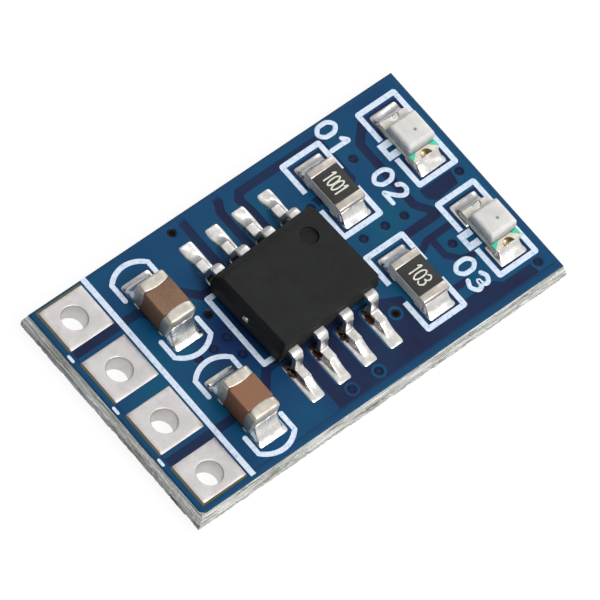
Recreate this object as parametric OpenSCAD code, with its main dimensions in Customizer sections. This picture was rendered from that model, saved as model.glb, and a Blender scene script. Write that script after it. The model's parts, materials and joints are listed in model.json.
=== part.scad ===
// Small lithium cell charger board: a snapped-out circuit board with four wire
// terminals, an eight-lead charger chip, two capacitors, two resistors, two LEDs.
// X runs from the terminals to the LEDs, Y across the board, Z up from the lands below.

/* [Board] */
// Length of the top face, between the scored edges
board_l = 17.65; // [17:0.05:24]
// Whole thickness, over both solder masks
board_t = 1.0; // [0.8:0.1:1.6]
// Depth of the score cut along each edge, from either face
score_depth = 0.36; // [0.2:0.02:0.38]
// How far the snapped web stands out past the top face, near side and terminal end
score_out = 0.23; // [0.1:0.01:0.4]
// How far it stands out on the far side and at the LED end, which snapped cleaner
score_out_far = 0.08; // [0.02:0.01:0.4]
// Thickness of the copper foil on each face
copper_t = 0.035; // [0.018:0.001:0.07]
// Thickness of the solder mask over copper
mask_t = 0.02; // [0.01:0.001:0.04]
// How far the mask sinks where there is no copper under it
mask_sink = 0.01; // [0.004:0.001:0.015]
// Thickness of the white ink
ink_t = 0.015; // [0.01:0.001:0.025]
// Chamfer snapped off one corner of the face
corner_nick = 0.18; // [0:0.02:0.4]

/* [Copper edges] */
// Copper stops this far from the terminal end
keep_end = 0.325; // [0.1:0.005:0.5]
// Copper stops this far from the LED end
keep_led = 0.2; // [0.1:0.01:0.5]
// Copper stops this far from the far long edge
keep_far = 0.165; // [0.1:0.005:0.4]
// Copper stops this far from the near long edge
keep_near = 0.32; // [0.1:0.005:0.5]
// Width of the bare channel between two copper areas
channel_w = 0.37; // [0.2:0.01:0.5]
// Width of the bare moat round the resistor and LED lands
moat_w = 0.09; // [0.05:0.01:0.15]

/* [Wire terminals] */
// Distance between the terminal holes
hole_pitch = 2.54; // [2.5:0.01:3.2]
// Inner radius of the plated holes
hole_r = 0.5; // [0.3:0.05:0.7]
// Wall thickness of the plated barrels
barrel_wall = 0.06; // [0.03:0.01:0.1]
// Distance of the hole row from the end of the face
hole_inset = 1.305; // [1.2:0.005:2]
// Length of a land along the board
land_x = 2.13; // [1.6:0.01:2.3]
// Width of a land across the board
land_y = 1.98; // [1.6:0.01:2.2]
// Mask left between the outer lands and the long edges
land_margin = 0.11; // [0.05:0.01:1]
// How far the hole row sits off the centre line
row_shift = 0.036; // [0:0.001:0.06]

/* [Vias] */
// Inner radius of a via barrel
via_r = 0.125; // [0.1:0.005:0.16]
// Wall thickness of a via barrel
via_wall = 0.035; // [0.02:0.005:0.05]
// Radius of the copper ring round a lone via
via_ring_r = 0.29; // [0.22:0.01:0.35]

/* [White ink] */
// Width of the outlines round resistors and LEDs
ink_w = 0.22; // [0.12:0.01:0.3]
// Width of the curved outlines round the capacitors
ink_thin_w = 0.2; // [0.12:0.01:0.3]
// Gap between the terminal lands and the dividing line
divider_gap = 0.095; // [0.05:0.005:0.3]
// Print error along the board
ink_shift_x = -0.02; // [-0.05:0.01:0.05]
// Print error across the board
ink_shift_y = 0.06; // [-0.08:0.01:0.08]

/* [Chip placing] */
// Place of the chip's lands, as a share of the way from the dividing line to the LEDs
chip_share = 0.4234; // [0.42:0.0002:0.43]
// Turn of the chip on its lands
chip_turn = 2.2; // [0:0.1:2.5]
// Offset of the chip from its lands, along the board
chip_dx = 0.055; // [-0.05:0.005:0.06]
// Offset of the chip from its lands, across the board
chip_dy = 0.05; // [-0.05:0.005:0.06]

/* [Chip body] */
// Length of the moulded body
body_l = 4.9; // [4.8:0.05:5]
// Width of the moulded body
body_w = 3.9; // [3.7:0.05:4]
// Height of the moulded body
body_h = 1.45; // [1.3:0.01:1.6]
// Air gap below the body
standoff = 0.12; // [0.05:0.01:0.25]
// Draft angle of the moulded walls
draft = 8; // [4:0.5:12]
// Chamfer along the top edge on the first pin's side
chip_bevel = 0.34; // [0.1:0.01:0.45]
// Radius of the first-pin dimple
dimple_r = 0.37; // [0.2:0.01:0.45]
// Depth of the first-pin dimple
dimple_d = 0.08; // [0.03:0.01:0.12]
// Distance of the dimple's centre from the two body sides
dimple_in = 1.06; // [0.9:0.01:1.3]

/* [Chip leads] */
// Distance between leads
lead_pitch = 1.27; // [1.2:0.01:1.3]
// Toe to toe span of the leads
lead_span = 6.0; // [5.8:0.05:6.2]
// Thickness of the lead frame
lead_t = 0.2; // [0.15:0.01:0.25]
// Width of a lead below its shoulder
lead_w = 0.4; // [0.3:0.01:0.45]
// Width of a lead's shoulder, where the dam bar was cut
shoulder_w = 0.48; // [0.4:0.01:0.55]
// Straight part of a lead next to the body
shoulder_l = 0.13; // [0.08:0.01:0.16]
// Radius of both bends, on the centre line
bend_r = 0.2; // [0.16:0.01:0.22]
// Slope of a lead's web
web_angle = 80; // [70:1:86]
// Length of the lead inside the body
lead_in = 0.75; // [0.5:0.01:0.8]

/* [Chip inside] */
// Length of the die paddle
paddle_l = 3.2; // [2.6:0.05:3.4]
// Gap between the die paddle and the leads' inner ends
paddle_gap = 0.25; // [0.15:0.01:0.3]
// Width of the bars that held the paddle
tie_w = 0.25; // [0.15:0.01:0.4]
// Length of the silicon die
die_l = 1.6; // [1.2:0.05:2]
// Paddle left bare along each long side of the die
die_margin = 0.35; // [0.25:0.01:0.4]
// Thickness of the silicon die
die_t = 0.25; // [0.15:0.01:0.3]
// Thickness of a bond wire
wire_t = 0.05; // [0.03:0.005:0.06]
// Height of a bond wire's loop above the die
wire_loop = 0.16; // [0.1:0.01:0.2]

/* [Chip lands] */
// Width of a chip land
chip_land_w = 0.66; // [0.5:0.01:0.7]
// Length of a chip land
chip_land_l = 1.9; // [1.5:0.05:2]
// Distance of a land's inner end from the chip's centre line
chip_land_in = 1.95; // [1.9:0.01:2.2]
// Corner radius of a chip land
chip_land_r = 0.17; // [0.05:0.01:0.24]

/* [Capacitors] */
// Place of the capacitor column, as a share of the way from the dividing line to the LEDs
caps_share = 0.114; // [0.11:0.001:0.13]
// Place of the far capacitor across the board
cap_far_y = 2.22; // [2.1:0.01:2.3]
// Place of the near capacitor across the board
cap_near_y = -2.51; // [-2.6:0.01:-2.4]
// Width of a capacitor
cap_w = 1.25; // [1.1:0.01:1.3]
// Length of a capacitor
cap_l = 2.0; // [1.9:0.01:2.1]
// Height of a capacitor
cap_h = 1.2; // [0.6:0.05:1.3]
// Length of a capacitor's end caps
cap_end = 0.5; // [0.3:0.01:0.6]
// Thickness of the end caps' metal
cap_metal = 0.03; // [0.02:0.005:0.05]
// Width of a capacitor land
cap_land_w = 1.33; // [1.2:0.01:1.4]
// Outer span of a capacitor's two lands
cap_span = 3.27; // [3.1:0.01:3.4]
// Length of a capacitor land
cap_land_l = 1.15; // [0.9:0.01:1.2]
// Sideways error in placing the capacitors
cap_dx = -0.08; // [-0.1:0.01:0.1]

/* [Resistors] */
// Place of the resistor column, as a share of the way from the dividing line to the LEDs
res_share = 0.7292; // [0.725:0.0002:0.74]
// Sideways step between the two resistors
res_stagger = 0.09; // [0:0.01:0.1]
// Place of the far resistor across the board
res_far_y = 2.375; // [2.3:0.005:2.45]
// Place of the near resistor across the board
res_near_y = -2.285; // [-2.35:0.005:-2.2]
// Width of a resistor
res_w = 1.25; // [1.15:0.01:1.3]
// Length of a resistor
res_l = 2.0; // [1.9:0.01:2.1]
// Height of a resistor
res_h = 0.55; // [0.4:0.01:0.65]
// Length of a resistor's end caps on top
res_end = 0.35; // [0.25:0.01:0.45]
// Thickness of the end caps' metal
res_metal = 0.03; // [0.02:0.005:0.05]
// Thickness of the resistive film
film_t = 0.015; // [0.01:0.001:0.02]
// Thickness of the black glaze over the film
glaze_t = 0.03; // [0.02:0.005:0.05]

/* [LEDs] */
// Distance of the LED column from the end of the face
led_inset = 1.335; // [1.3:0.005:1.6]
// Place of the far LED across the board
led_far_y = 2.41; // [2.35:0.01:2.45]
// Place of the near LED across the board
led_near_y = -2.14; // [-2.2:0.01:-2.1]
// Sideways error in placing the near LED
led_dx = 0.1; // [0:0.01:0.12]
// Width of an LED
led_w = 1.25; // [1.15:0.01:1.3]
// Length of an LED
led_l = 2.0; // [1.9:0.01:2.1]
// Height of an LED
led_h = 0.8; // [0.6:0.01:1.1]
// Thickness of an LED's base
led_base_t = 0.3; // [0.2:0.01:0.35]
// Length of the moulded lens at its foot
lens_l = 1.36; // [1.2:0.01:1.4]
// Slope of the lens ends, from upright
lens_draft = 6; // [2:1:12]
// Radius of the plated notch in each end
notch_r = 0.26; // [0.2:0.01:0.3]
// Thickness of the LED's end metal
led_metal = 0.03; // [0.02:0.005:0.04]
// Side of the LED's square die
led_die = 0.24; // [0.18:0.01:0.3]
// Height of the LED's die
led_die_h = 0.12; // [0.08:0.01:0.15]

/* [Resistor and LED lands] */
// Width of a resistor or LED land
small_land_w = 1.3; // [1.2:0.01:1.35]
// Outer span of a resistor's or LED's two lands
small_span = 3.05; // [2.95:0.01:3.2]
// Length of a resistor or LED land
small_land_l = 1.05; // [0.9:0.01:1.1]
// Clear space between a land and its white outline
outline_gap = 0.13; // [0.05:0.01:0.15]

/* [Solder] */
// Thickness of the solder between a part and its land
solder_t = 0.05; // [0.045:0.005:0.08]
// Height of the solder fillets against a part's end, as a share of its height
fillet_share = 0.62; // [0.3:0.02:0.8]

/* [Hidden] */
$fn = 48;

// The face is as wide as its row of lands
terminals = 4;
board_w = (terminals - 1) * hole_pitch + land_y + 2 * land_margin;
x_end = -board_l / 2;
x_led = board_l / 2;
y_near = -board_w / 2;
y_far = board_w / 2;

// Levels, from the tinned lands underneath to the soldered parts
tin_t = mask_t;
z_core = copper_t + mask_t;
core_t = board_t - 2 * z_core;
z_foil = z_core + core_t;
z_land = z_foil + copper_t;
z_face = board_t;
z_part = z_land + solder_t;
mask_bare_t = copper_t + mask_t - mask_sink;

// Columns and rows of the parts
hole_x = x_end + hole_inset;
divider_w = 0.23;
divider_x = hole_x + land_x / 2 + divider_gap + divider_w / 2;
led_x = x_led - led_inset;
parts_run = led_x - divider_x;
cap_x = divider_x + caps_share * parts_run;
chip_x = divider_x + chip_share * parts_run;
res_x = divider_x + res_share * parts_run;
CAP = [[cap_x, cap_far_y], [cap_x, cap_near_y]];
RES = [[res_x - res_stagger / 2, res_far_y], [res_x + res_stagger / 2, res_near_y]];
LED = [[led_x, led_far_y], [led_x, led_near_y]];
LED_SHIFT = [0, led_dx];
barrel_r = hole_r + barrel_wall;
via_out_r = via_r + via_wall;
bend_swell = 1.02;
cut = 0.5;

function hole_y(i) = row_shift + ((terminals - 1) / 2 - i) * hole_pitch;

// Channel levels: between the first and last pairs of terminals, at the chip's lands and
// along the far edge
far_gap_y = hole_y(0) - land_y / 2 - channel_w / 2;
near_gap_y = hole_y(3) + land_y / 2 + channel_w / 2;
far_run_y = y_far - 0.58;
pin_far_y = chip_land_in - 0.12;
pin_near_y = -pin_far_y;

// Vias: open ones, ringed ones in bare laminate, and those covered by mask
OPEN_VIAS = [[chip_x - 1.9, far_run_y + 0.14], [cap_x + 1.29, 1.14], [res_x - 1.43, -2.8]];
RING_VIAS = [[chip_x - 0.6, -4.22], [chip_x + 0.7, -4.23]];
TENTED_VIAS = [
    [cap_x - 0.19, -0.06], [cap_x + 0.53, -0.06], [cap_x + 1.27, 0.05], [cap_x + 1.29, -0.81],
    [res_x + 1.47, 2.96], [res_x - 1.17, 2.3], [res_x - 0.39, 0.21], [res_x + 0.63, 0.16],
    [res_x + 1.5, 0.07], [led_x + 0.71, 0.3], [led_x - 1.5, -1.84], [led_x + 0.64, -4.25]];
VIAS = concat(OPEN_VIAS, RING_VIAS, TENTED_VIAS);

module rect(x0, x1, y0, y1) { translate([x0, y0]) square([x1 - x0, y1 - y0]); }

// A band of constant width along a path, round at its corners and ends; the rounds stand a
// few microns proud, so that they cross the straight legs instead of touching them
module band(path, w) {
    for (i = [0 : len(path) - 2]) {
        d = path[i + 1] - path[i];
        translate(path[i]) rotate(atan2(d[1], d[0])) translate([0, -w / 2]) square([norm(d), w]);
    }
    for (p = path) translate(p) circle(d = w * bend_swell);
}

// A rectangle with round corners
module round_rect(l, w, r) {
    square([l - 2 * r, w], center = true);
    square([l, w - 2 * r], center = true);
    for (i = [-1, 1], j = [-1, 1]) translate([i * (l / 2 - r), j * (w / 2 - r)]) circle(r);
}

// Extrudes an outline drawn in Y and Z along X, centred
module along_x(l) { rotate([90, 0, 90]) linear_extrude(l, center = true) children(); }

// Extrudes an outline drawn in X and Z along Y, centred
module along_y(l) { rotate([90, 0, 0]) linear_extrude(l, center = true) children(); }

// The face between the score cuts, with one corner nicked
module face2d() {
    difference() {
        rect(x_end, x_led, y_near, y_far);
        translate([x_end, y_near]) rotate(45) square(corner_nick * sqrt(2), center = true);
    }
}

// The two lands of a two-terminal part, one at each end along Y
module lands2d(at, w, span, l) {
    for (s = [-1, 1]) translate(at + [0, s * (span - l) / 2]) square([w, l], center = true);
}

// The bare moat round such lands, open towards the part
module moats2d(at, w, span, l) {
    difference() {
        translate(at) square([w + 2 * moat_w, span + 2 * moat_w], center = true);
        translate(at) square([w, span], center = true);
        translate(at) square([w + 3 * moat_w, span - 2 * l + moat_w], center = true);
    }
}

module chip_land2d(k) {
    side = k < 4 ? 1 : -1;
    x = k < 4 ? 1.5 - k : k - 5.5;
    translate([chip_x + x * lead_pitch, side * (chip_land_in + chip_land_l / 2)])
        round_rect(chip_land_w, chip_land_l, chip_land_r);
}

module part_lands2d() {
    for (at = CAP) lands2d(at, cap_land_w, cap_span, cap_land_l);
    for (at = concat(RES, LED)) lands2d(at, small_land_w, small_span, small_land_l);
    for (k = [0 : 7]) chip_land2d(k);
}

module terminal_window2d(i) { translate([hole_x, hole_y(i)]) square([land_x, land_y], center = true); }

module copper_limit2d() {
    rect(x_end + keep_end, x_led - keep_led, y_near + keep_near, y_far - keep_far);
}

// Bare channels that part the top copper into its nets
module channels2d() {
    left = x_end;
    top = y_far;
    band([[left, far_gap_y], [cap_x - 0.8, far_gap_y], [cap_x - 0.6, far_gap_y - 0.22],
        [cap_x + 1.0, far_gap_y - 0.22], [cap_x + 1.62, pin_far_y], [chip_x + 2.6, pin_far_y],
        [res_x - 0.95, res_far_y], [res_x + 0.86, res_far_y], [res_x + 0.86, far_run_y]], channel_w);
    band([[left, near_gap_y], [cap_x - 0.8, near_gap_y], [cap_x + 0.92, near_gap_y + 0.1],
        [cap_x + 1.6, pin_near_y + 0.06], [chip_x + 1.4, pin_near_y]], channel_w);
    band([[chip_x - 1.32, top], [chip_x - 1.32, pin_far_y]], channel_w);
    band([[chip_x + 0.33, top], [chip_x + 0.33, far_run_y + 0.09],
        [chip_x + 0.13, far_run_y - 0.25], [chip_x + 0.13, pin_far_y]], channel_w);
    band([[chip_x + 1.13, pin_far_y], [chip_x + 1.13, 3.5], [chip_x + 1.03, far_run_y - 0.23],
        [chip_x + 1.25, far_run_y], [res_x + 0.86, far_run_y]], channel_w);
    band([[led_x - 1.04, 3.85], [led_x - 1.63, 3.28], [led_x - 1.63, 0.2],
        [led_x - 1.24, -0.35], [led_x - 1.2, -0.57], [res_x + 1.0, -0.57]], channel_w);
    band([[res_x + 1.0, -1.45], [led_x - 2.2, -1.2], [led_x - 1.0, -1.18]], channel_w * 0.8);
    band([[led_x - 2.05, -1.2], [led_x - 2.05, -2.05], [led_x - 1.65, -2.5],
        [led_x - 1.2, -2.62]], channel_w * 0.8);
    band([[res_x + 1.0, -3.3], [led_x - 2.1, -3.3]], channel_w * 0.75);
    band([[chip_x + 2.4, -2.1], [res_x - 0.95, -2.5]], channel_w);
}

// Bare fields: the near side of the board and the block between the LEDs
module bare_fields2d() {
    polygon([[chip_x - 1.47, y_near], [chip_x - 1.47, pin_near_y], [chip_x + 2.35, pin_near_y],
        [chip_x + 2.75, -2.3], [res_x - 0.85, -2.62], [res_x - 0.85, -3.85],
        [led_x - 1.3, -3.85], [led_x - 1.0, -4.12], [led_x + 0.4, -4.12], [led_x + 0.4, y_near]]);
    polygon([[led_x - 1.08, 0.53], [led_x + 0.5, 0.53], [led_x + 0.35, -0.06],
        [led_x - 0.8, -0.16], [led_x - 1.08, 0.12]]);
}

// All copper on the top face: the pour, cut up, and the lands that lie in bare fields
module copper_top2d() {
    difference() {
        intersection() {
            copper_limit2d();
            union() {
                difference() {
                    copper_limit2d();
                    channels2d();
                    bare_fields2d();
                    for (at = concat(RES, LED)) moats2d(at, small_land_w, small_span, small_land_l);
                }
                part_lands2d();
                for (i = [0 : 3]) terminal_window2d(i);
                for (p = VIAS) translate(p) circle(via_ring_r);
            }
        }
        for (i = [0 : 3]) translate([hole_x, hole_y(i)]) circle(barrel_r);
        for (p = VIAS) translate(p) circle(via_out_r);
    }
}

// The bottom face is one pour, with moats round the first and last terminals
module copper_bottom2d() {
    difference() {
        copper_limit2d();
        for (i = [0, 3]) translate([hole_x, hole_y(i)]) difference() {
            square([land_x + 2 * channel_w, land_y + 2 * channel_w], center = true);
            square([land_x, land_y], center = true);
        }
        for (i = [0 : 3]) translate([hole_x, hole_y(i)]) circle(barrel_r);
        for (p = VIAS) translate(p) circle(via_out_r);
    }
}

module windows_top2d() {
    for (i = [0 : 3]) terminal_window2d(i);
    part_lands2d();
    for (p = OPEN_VIAS) translate(p) circle(via_out_r);
}

module windows_bottom2d() {
    for (i = [0 : 3]) terminal_window2d(i);
    for (p = OPEN_VIAS) translate(p) circle(via_out_r);
}

// Glass laminate: the score cuts leave a web that stands out all round
module substrate() {
    module scored(l) {
        near = -l / 2 - score_out;
        far = l / 2 + score_out_far;
        top = board_t - z_core;
        lo = score_depth;
        hi = board_t - score_depth;
        polygon([[-l / 2, z_core], [l / 2, z_core], [far, lo], [far, hi], [l / 2, top],
            [-l / 2, top], [near, hi], [near, lo]]);
    }
    color("darkkhaki") difference() {
        intersection() {
            along_x(2 * board_l) scored(board_w);
            along_y(2 * board_w) scored(board_l);
        }
        for (i = [0 : 3]) translate([hole_x, hole_y(i), 0]) cylinder(r = barrel_r, h = board_t);
        for (p = VIAS) translate([p[0], p[1], 0]) cylinder(r = via_out_r, h = board_t);
    }
}

module copper_top() {
    color("goldenrod") translate([0, 0, z_foil]) linear_extrude(copper_t) copper_top2d();
}

module copper_bottom() {
    color("goldenrod") translate([0, 0, mask_t]) linear_extrude(copper_t) copper_bottom2d();
}

// Lacquer that stands a little higher over the copper than over the laminate
module solder_mask_top() {
    color("steelblue") translate([0, 0, z_foil]) {
        linear_extrude(mask_bare_t) difference() {
            face2d();
            copper_top2d();
            windows_top2d();
            for (p = VIAS) translate(p) circle(via_out_r);
        }
        translate([0, 0, copper_t]) linear_extrude(mask_t) difference() {
            union() {
                copper_top2d();
                for (p = VIAS) translate(p) circle(via_out_r);
            }
            windows_top2d();
        }
    }
}

module solder_mask_bottom() {
    color("steelblue") {
        linear_extrude(mask_t) difference() {
            rect(x_end, x_led, y_near, y_far);
            windows_bottom2d();
        }
        translate([0, 0, mask_t]) linear_extrude(copper_t) difference() {
            rect(x_end, x_led, y_near, y_far);
            copper_bottom2d();
            windows_bottom2d();
            for (p = VIAS) translate(p) circle(via_out_r);
        }
    }
}

// Outline of a resistor or LED: a box open in the middle of its long sides
module box_outline2d(at, opening) {
    w = small_land_w + 2 * outline_gap + 2 * ink_w;
    l = small_span + 2 * outline_gap + 2 * ink_w;
    translate(at) difference() {
        round_rect(w, l, ink_w * 0.6);
        square([w - 2 * ink_w, l - 2 * ink_w], center = true);
        square([w * 2, opening], center = true);
    }
}

// Outline of a capacitor: two bows that bend round its lands
module bow_outline2d(at) {
    half = cap_land_w / 2 + 0.2;
    bow = (cap_span / 2) + 0.14;
    rise = 0.38;
    r = (half * half + rise * rise) / (2 * rise);
    translate(at) for (s = [0, 180]) rotate(s) {
        intersection() {
            translate([0, bow + rise - r]) difference() {
                circle(r + ink_thin_w / 2);
                circle(r - ink_thin_w / 2);
            }
            rect(-half - ink_thin_w / 2, half + ink_thin_w / 2, bow, bow + 1);
        }
        for (x = [-half, half]) band([[x, bow - 0.75], [x, bow]], ink_thin_w);
    }
}

// Diode sign beside an LED: two short bars joined at one end
module diode_sign2d(at) {
    x = at[0] - small_land_w / 2 - outline_gap - ink_w / 2;
    for (s = [-1, 1]) rect(x - 0.27, x + 0.33, at[1] + s * 0.24 - 0.14, at[1] + s * 0.24 + 0.14);
    rect(x - 0.27, x - 0.05, at[1] - 0.2, at[1] + 0.2);
}

module ink2d() {
    difference() {
        translate([ink_shift_x, ink_shift_y]) {
            rect(divider_x - divider_w / 2, divider_x + divider_w / 2,
                hole_y(3) - land_y / 2 - 0.06, y_far - ink_shift_y);
            for (i = [0 : 2]) translate([x_end + 0.13, (hole_y(i) + hole_y(i + 1)) / 2])
                round_rect(0.12, 0.36, 0.059);
            for (at = CAP) bow_outline2d(at);
            for (at = RES) box_outline2d(at, 0.88);
            for (at = LED) {
                box_outline2d(at, 0.9);
                diode_sign2d(at);
            }
            x = chip_x - body_l / 2 - 0.13;
            band([[x + 0.45, 1.56], [x, 1.56], [x, -1.64], [x + 0.45, -1.64]], ink_w);
        }
        windows_top2d();
    }
}

// Ink lies on the lacquer and follows its level
module silkscreen() {
    color("white") difference() {
        translate([0, 0, z_face - mask_sink]) linear_extrude(mask_sink + ink_t) ink2d();
        translate([0, 0, z_face - mask_t]) linear_extrude(mask_t) copper_top2d();
        for (p = VIAS) translate([p[0], p[1], z_face - mask_t]) cylinder(r = via_out_r, h = mask_t);
    }
}

module vias() {
    color("goldenrod") for (p = VIAS) translate([p[0], p[1], mask_t]) difference() {
        cylinder(r = via_out_r, h = z_land - mask_t);
        translate([0, 0, -cut]) cylinder(r = via_r, h = board_t + 2 * cut);
    }
}

// A plated hole: barrel and tinned land on both faces, the land cut short by the copper's edge
module terminal(i) {
    at = [hole_x, hole_y(i)];
    color("gainsboro") difference() {
        union() {
            for (z = [0, z_land]) translate([0, 0, z]) linear_extrude(tin_t) intersection() {
                terminal_window2d(i);
                copper_limit2d();
            }
            translate([at[0], at[1], 0]) cylinder(r = barrel_r, h = z_land + tin_t);
        }
        translate([at[0], at[1], -cut]) cylinder(r = hole_r, h = board_t + 2 * cut);
    }
}

// The chip's own frame: origin at its centre on the level of the lands' solder
module on_chip() {
    translate([chip_x + chip_dx, chip_dy, z_part]) rotate(chip_turn) children();
}

frame_z = standoff + body_h / 2;
paddle_w = body_w - 2 * (lead_in + paddle_gap);
die_w = paddle_w - 2 * die_margin;

// Two drafted profiles crossed, with the bevel on the first pin's side
module chip_block() {
    lean = body_h / 2 * tan(draft);
    x = body_l / 2;
    y = body_w / 2;
    top = standoff + body_h;
    intersection() {
        along_y(2 * body_w) polygon([[-x + lean, standoff], [x - lean, standoff], [x, frame_z],
            [x - lean, top], [-x + lean, top], [-x, frame_z]]);
        along_x(2 * body_l) polygon([[-y + lean, standoff], [y - lean, standoff], [y, frame_z],
            [y - lean + chip_bevel * tan(draft), top - chip_bevel], [y - lean - chip_bevel, top],
            [-y + lean, top], [-y, frame_z]]);
    }
}

module chip_body() {
    color([0.15, 0.16, 0.16]) difference() {
        on_chip() difference() {
            chip_block();
            translate([body_l / 2 - dimple_in, body_w / 2 - dimple_in, standoff + body_h - dimple_d])
                cylinder(r = dimple_r, h = cut);
        }
        for (k = [0 : 7]) lead(k);
        chip_paddle();
        chip_die();
        chip_bond_wires();
    }
}

// Centre line of a lead, in Y and Z, and the band round it
web_drop = frame_z - lead_t / 2 - 2 * bend_r * (1 - cos(web_angle));
bend_1_y = body_w / 2 + shoulder_l;
bend_2_y = bend_1_y + 2 * bend_r * sin(web_angle) + web_drop / tan(web_angle);

module elbow2d(a0, a1) {
    far = 4 * bend_r;
    intersection() {
        difference() {
            circle(bend_r + lead_t / 2);
            circle(bend_r - lead_t / 2);
        }
        polygon([[0, 0], far * [cos(a0), sin(a0)],
            far * [cos((a0 + a1) / 2), sin((a0 + a1) / 2)] * 1.4, far * [cos(a1), sin(a1)]]);
    }
}

module gull2d() {
    t = lead_t / 2;
    rect(body_w / 2 - lead_in, bend_1_y, frame_z - t, frame_z + t);
    translate([bend_1_y, frame_z - bend_r]) elbow2d(90, 90 - web_angle);
    translate([bend_1_y + bend_r * sin(web_angle), frame_z - bend_r * (1 - cos(web_angle))])
        rotate(-web_angle) rect(0, web_drop / sin(web_angle), -t, t);
    translate([bend_2_y, t + bend_r]) elbow2d(270, 270 - web_angle);
    rect(bend_2_y, lead_span / 2, 0, lead_t);
}

// Lead k, counted round the chip from the bevelled side; its shoulder is wider than its foot
module lead(k) {
    x = (k < 4 ? 1.5 - k : k - 5.5) * lead_pitch;
    color("lightgray") on_chip() mirror([0, k < 4 ? 0 : 1, 0]) translate([x, 0, 0]) {
        along_x(lead_w) gull2d();
        along_x(shoulder_w) intersection() {
            gull2d();
            rect(body_w / 2 - lead_in / 2, bend_1_y + bend_r * 0.7, 0, 2 * body_h);
        }
    }
}

// The paddle and its two tie bars, which end flush with the body
module chip_paddle() {
    color("silver") on_chip() translate([0, 0, frame_z - lead_t / 2]) linear_extrude(lead_t) {
        square([paddle_l, paddle_w], center = true);
        square([body_l, tie_w], center = true);
    }
}

module chip_die() {
    color("dimgray") on_chip() translate([0, 0, frame_z + lead_t / 2 + die_t / 2])
        cube([die_l, die_w, die_t], center = true);
}

// One wire from the die's edge to each lead, up, across and down
module chip_bond_wires() {
    z = frame_z + lead_t / 2;
    on_die_y = die_w / 2 - 0.12;
    on_lead_y = body_w / 2 - lead_in + 0.15;
    color("gold") on_chip() for (k = [0 : 7]) {
        x = (k < 4 ? 1.5 - k : k - 5.5) * lead_pitch;
        side = k < 4 ? 1 : -1;
        a = [x * (die_l - 0.3) / (3 * lead_pitch), side * on_die_y];
        b = [x, side * on_lead_y];
        d = b - a;
        run = norm(d);
        translate([a[0], a[1], z]) rotate(atan2(d[1], d[0])) along_y(wire_t) polygon([
            [0, die_t], [wire_t, die_t], [wire_t, die_t + wire_loop - wire_t],
            [run * 0.7, die_t + wire_loop - wire_t], [run - wire_t, 0], [run, 0],
            [run * 0.7 + wire_t, die_t + wire_loop], [0, die_t + wire_loop]]);
    }
}

// A wedge in the corner of a floor and a wall, hollowed by a round arc through both tips
module fillet2d(run, rise) {
    chord = norm([run, rise]);
    deep = chord * 0.7;
    difference() {
        polygon([[0, 0], [run, 0], [0, rise]]);
        translate([run / 2 + deep * rise / chord, rise / 2 + deep * run / chord])
            circle(norm([chord / 2, deep]));
    }
}

// The same wedge, run a little into the floor and the wall so that it fuses with both
root = solder_t / 2;
module rooted_fillet2d(run, rise) {
    fillet2d(run, rise);
    rect(-root, 0, -root, rise);
    rect(-root, run, -root, 0);
}

// Solder under and round the chip's feet: a skin on each land, a toe, a heel and two flanks
module chip_solder() {
    toe = 0.2;
    heel = 0.3;
    flank = 0.08;
    heel_y = bend_2_y - lead_t;
    color("whitesmoke") difference() {
        union() {
            translate([0, 0, z_land]) linear_extrude(solder_t) for (k = [0 : 7]) chip_land2d(k);
            on_chip() for (k = [0 : 7]) {
                x = (k < 4 ? 1.5 - k : k - 5.5) * lead_pitch;
                mirror([0, k < 4 ? 0 : 1, 0]) translate([x, 0, 0]) {
                    along_x(lead_w + flank) translate([lead_span / 2, 0])
                        rooted_fillet2d(toe, lead_t * 0.9);
                    along_x(lead_w - root) translate([bend_2_y - bend_r, 0]) mirror([1, 0]) {
                        rooted_fillet2d(heel, heel);
                        rect(-bend_r, 0, -root, lead_t * 0.3);
                    }
                    for (s = [0, 1]) mirror([s, 0, 0])
                        translate([lead_w / 2, (heel_y + lead_span / 2) / 2, 0])
                        along_y(lead_span / 2 - heel_y + root) rooted_fillet2d(flank, lead_t * 0.7);
                }
            }
        }
        for (k = [0 : 7]) lead(k);
    }
}

// Places a two-terminal part over its lands, bottom on the solder
module on_lands(at, shift) { translate([at[0] + shift, at[1], z_part]) children(); }

// Metal cup over one end of a block: the block's end is thinner by the metal
module end_cup(w, l, h, cup, metal, side) {
    translate([0, side * (l / 2 - cup / 2), h / 2]) difference() {
        cube([w, cup, h], center = true);
        translate([0, -side * metal, 0]) cube([w - 2 * metal, cup, h - 2 * metal], center = true);
    }
}

// The solder of a two-terminal part: a skin on each land and a hollow fillet up each end
module end_solder(at, shift, w, l, h, span, land_w, land_l) {
    run = (span - l) / 2;
    color("whitesmoke") {
        translate([0, 0, z_land]) linear_extrude(solder_t) lands2d(at, land_w, span, land_l);
        on_lands(at, shift) for (s = [0, 1]) mirror([0, s, 0])
            along_x(w) translate([l / 2, 0]) fillet2d(run, h * fillet_share);
    }
}

// Sintered block of ceramic and metal layers; its ends step down inside the metal cups
module capacitor_body(n) {
    color("sienna") on_lands(CAP[n], cap_dx) translate([0, 0, cap_h / 2]) {
        cube([cap_w, cap_l - 2 * cap_end, cap_h], center = true);
        cube([cap_w - 2 * cap_metal, cap_l - 2 * cap_metal, cap_h - 2 * cap_metal], center = true);
    }
}

module capacitor_end(n, side) {
    color("tan") on_lands(CAP[n], cap_dx) end_cup(cap_w, cap_l, cap_h, cap_end, cap_metal, side);
}

module capacitor_solder(n) {
    end_solder(CAP[n], cap_dx, cap_w, cap_l, cap_h, cap_span, cap_land_w, cap_land_l);
}

// Alumina slip; the film and its glaze lie on top between the end metal
res_core_h = res_h - 2 * res_metal;
res_mid_l = res_l - 2 * res_end;

module resistor_ceramic(n) {
    color("white") on_lands(RES[n], 0) translate([0, 0, res_metal + res_core_h / 2])
        cube([res_w, res_l - 2 * res_metal, res_core_h], center = true);
}

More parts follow.
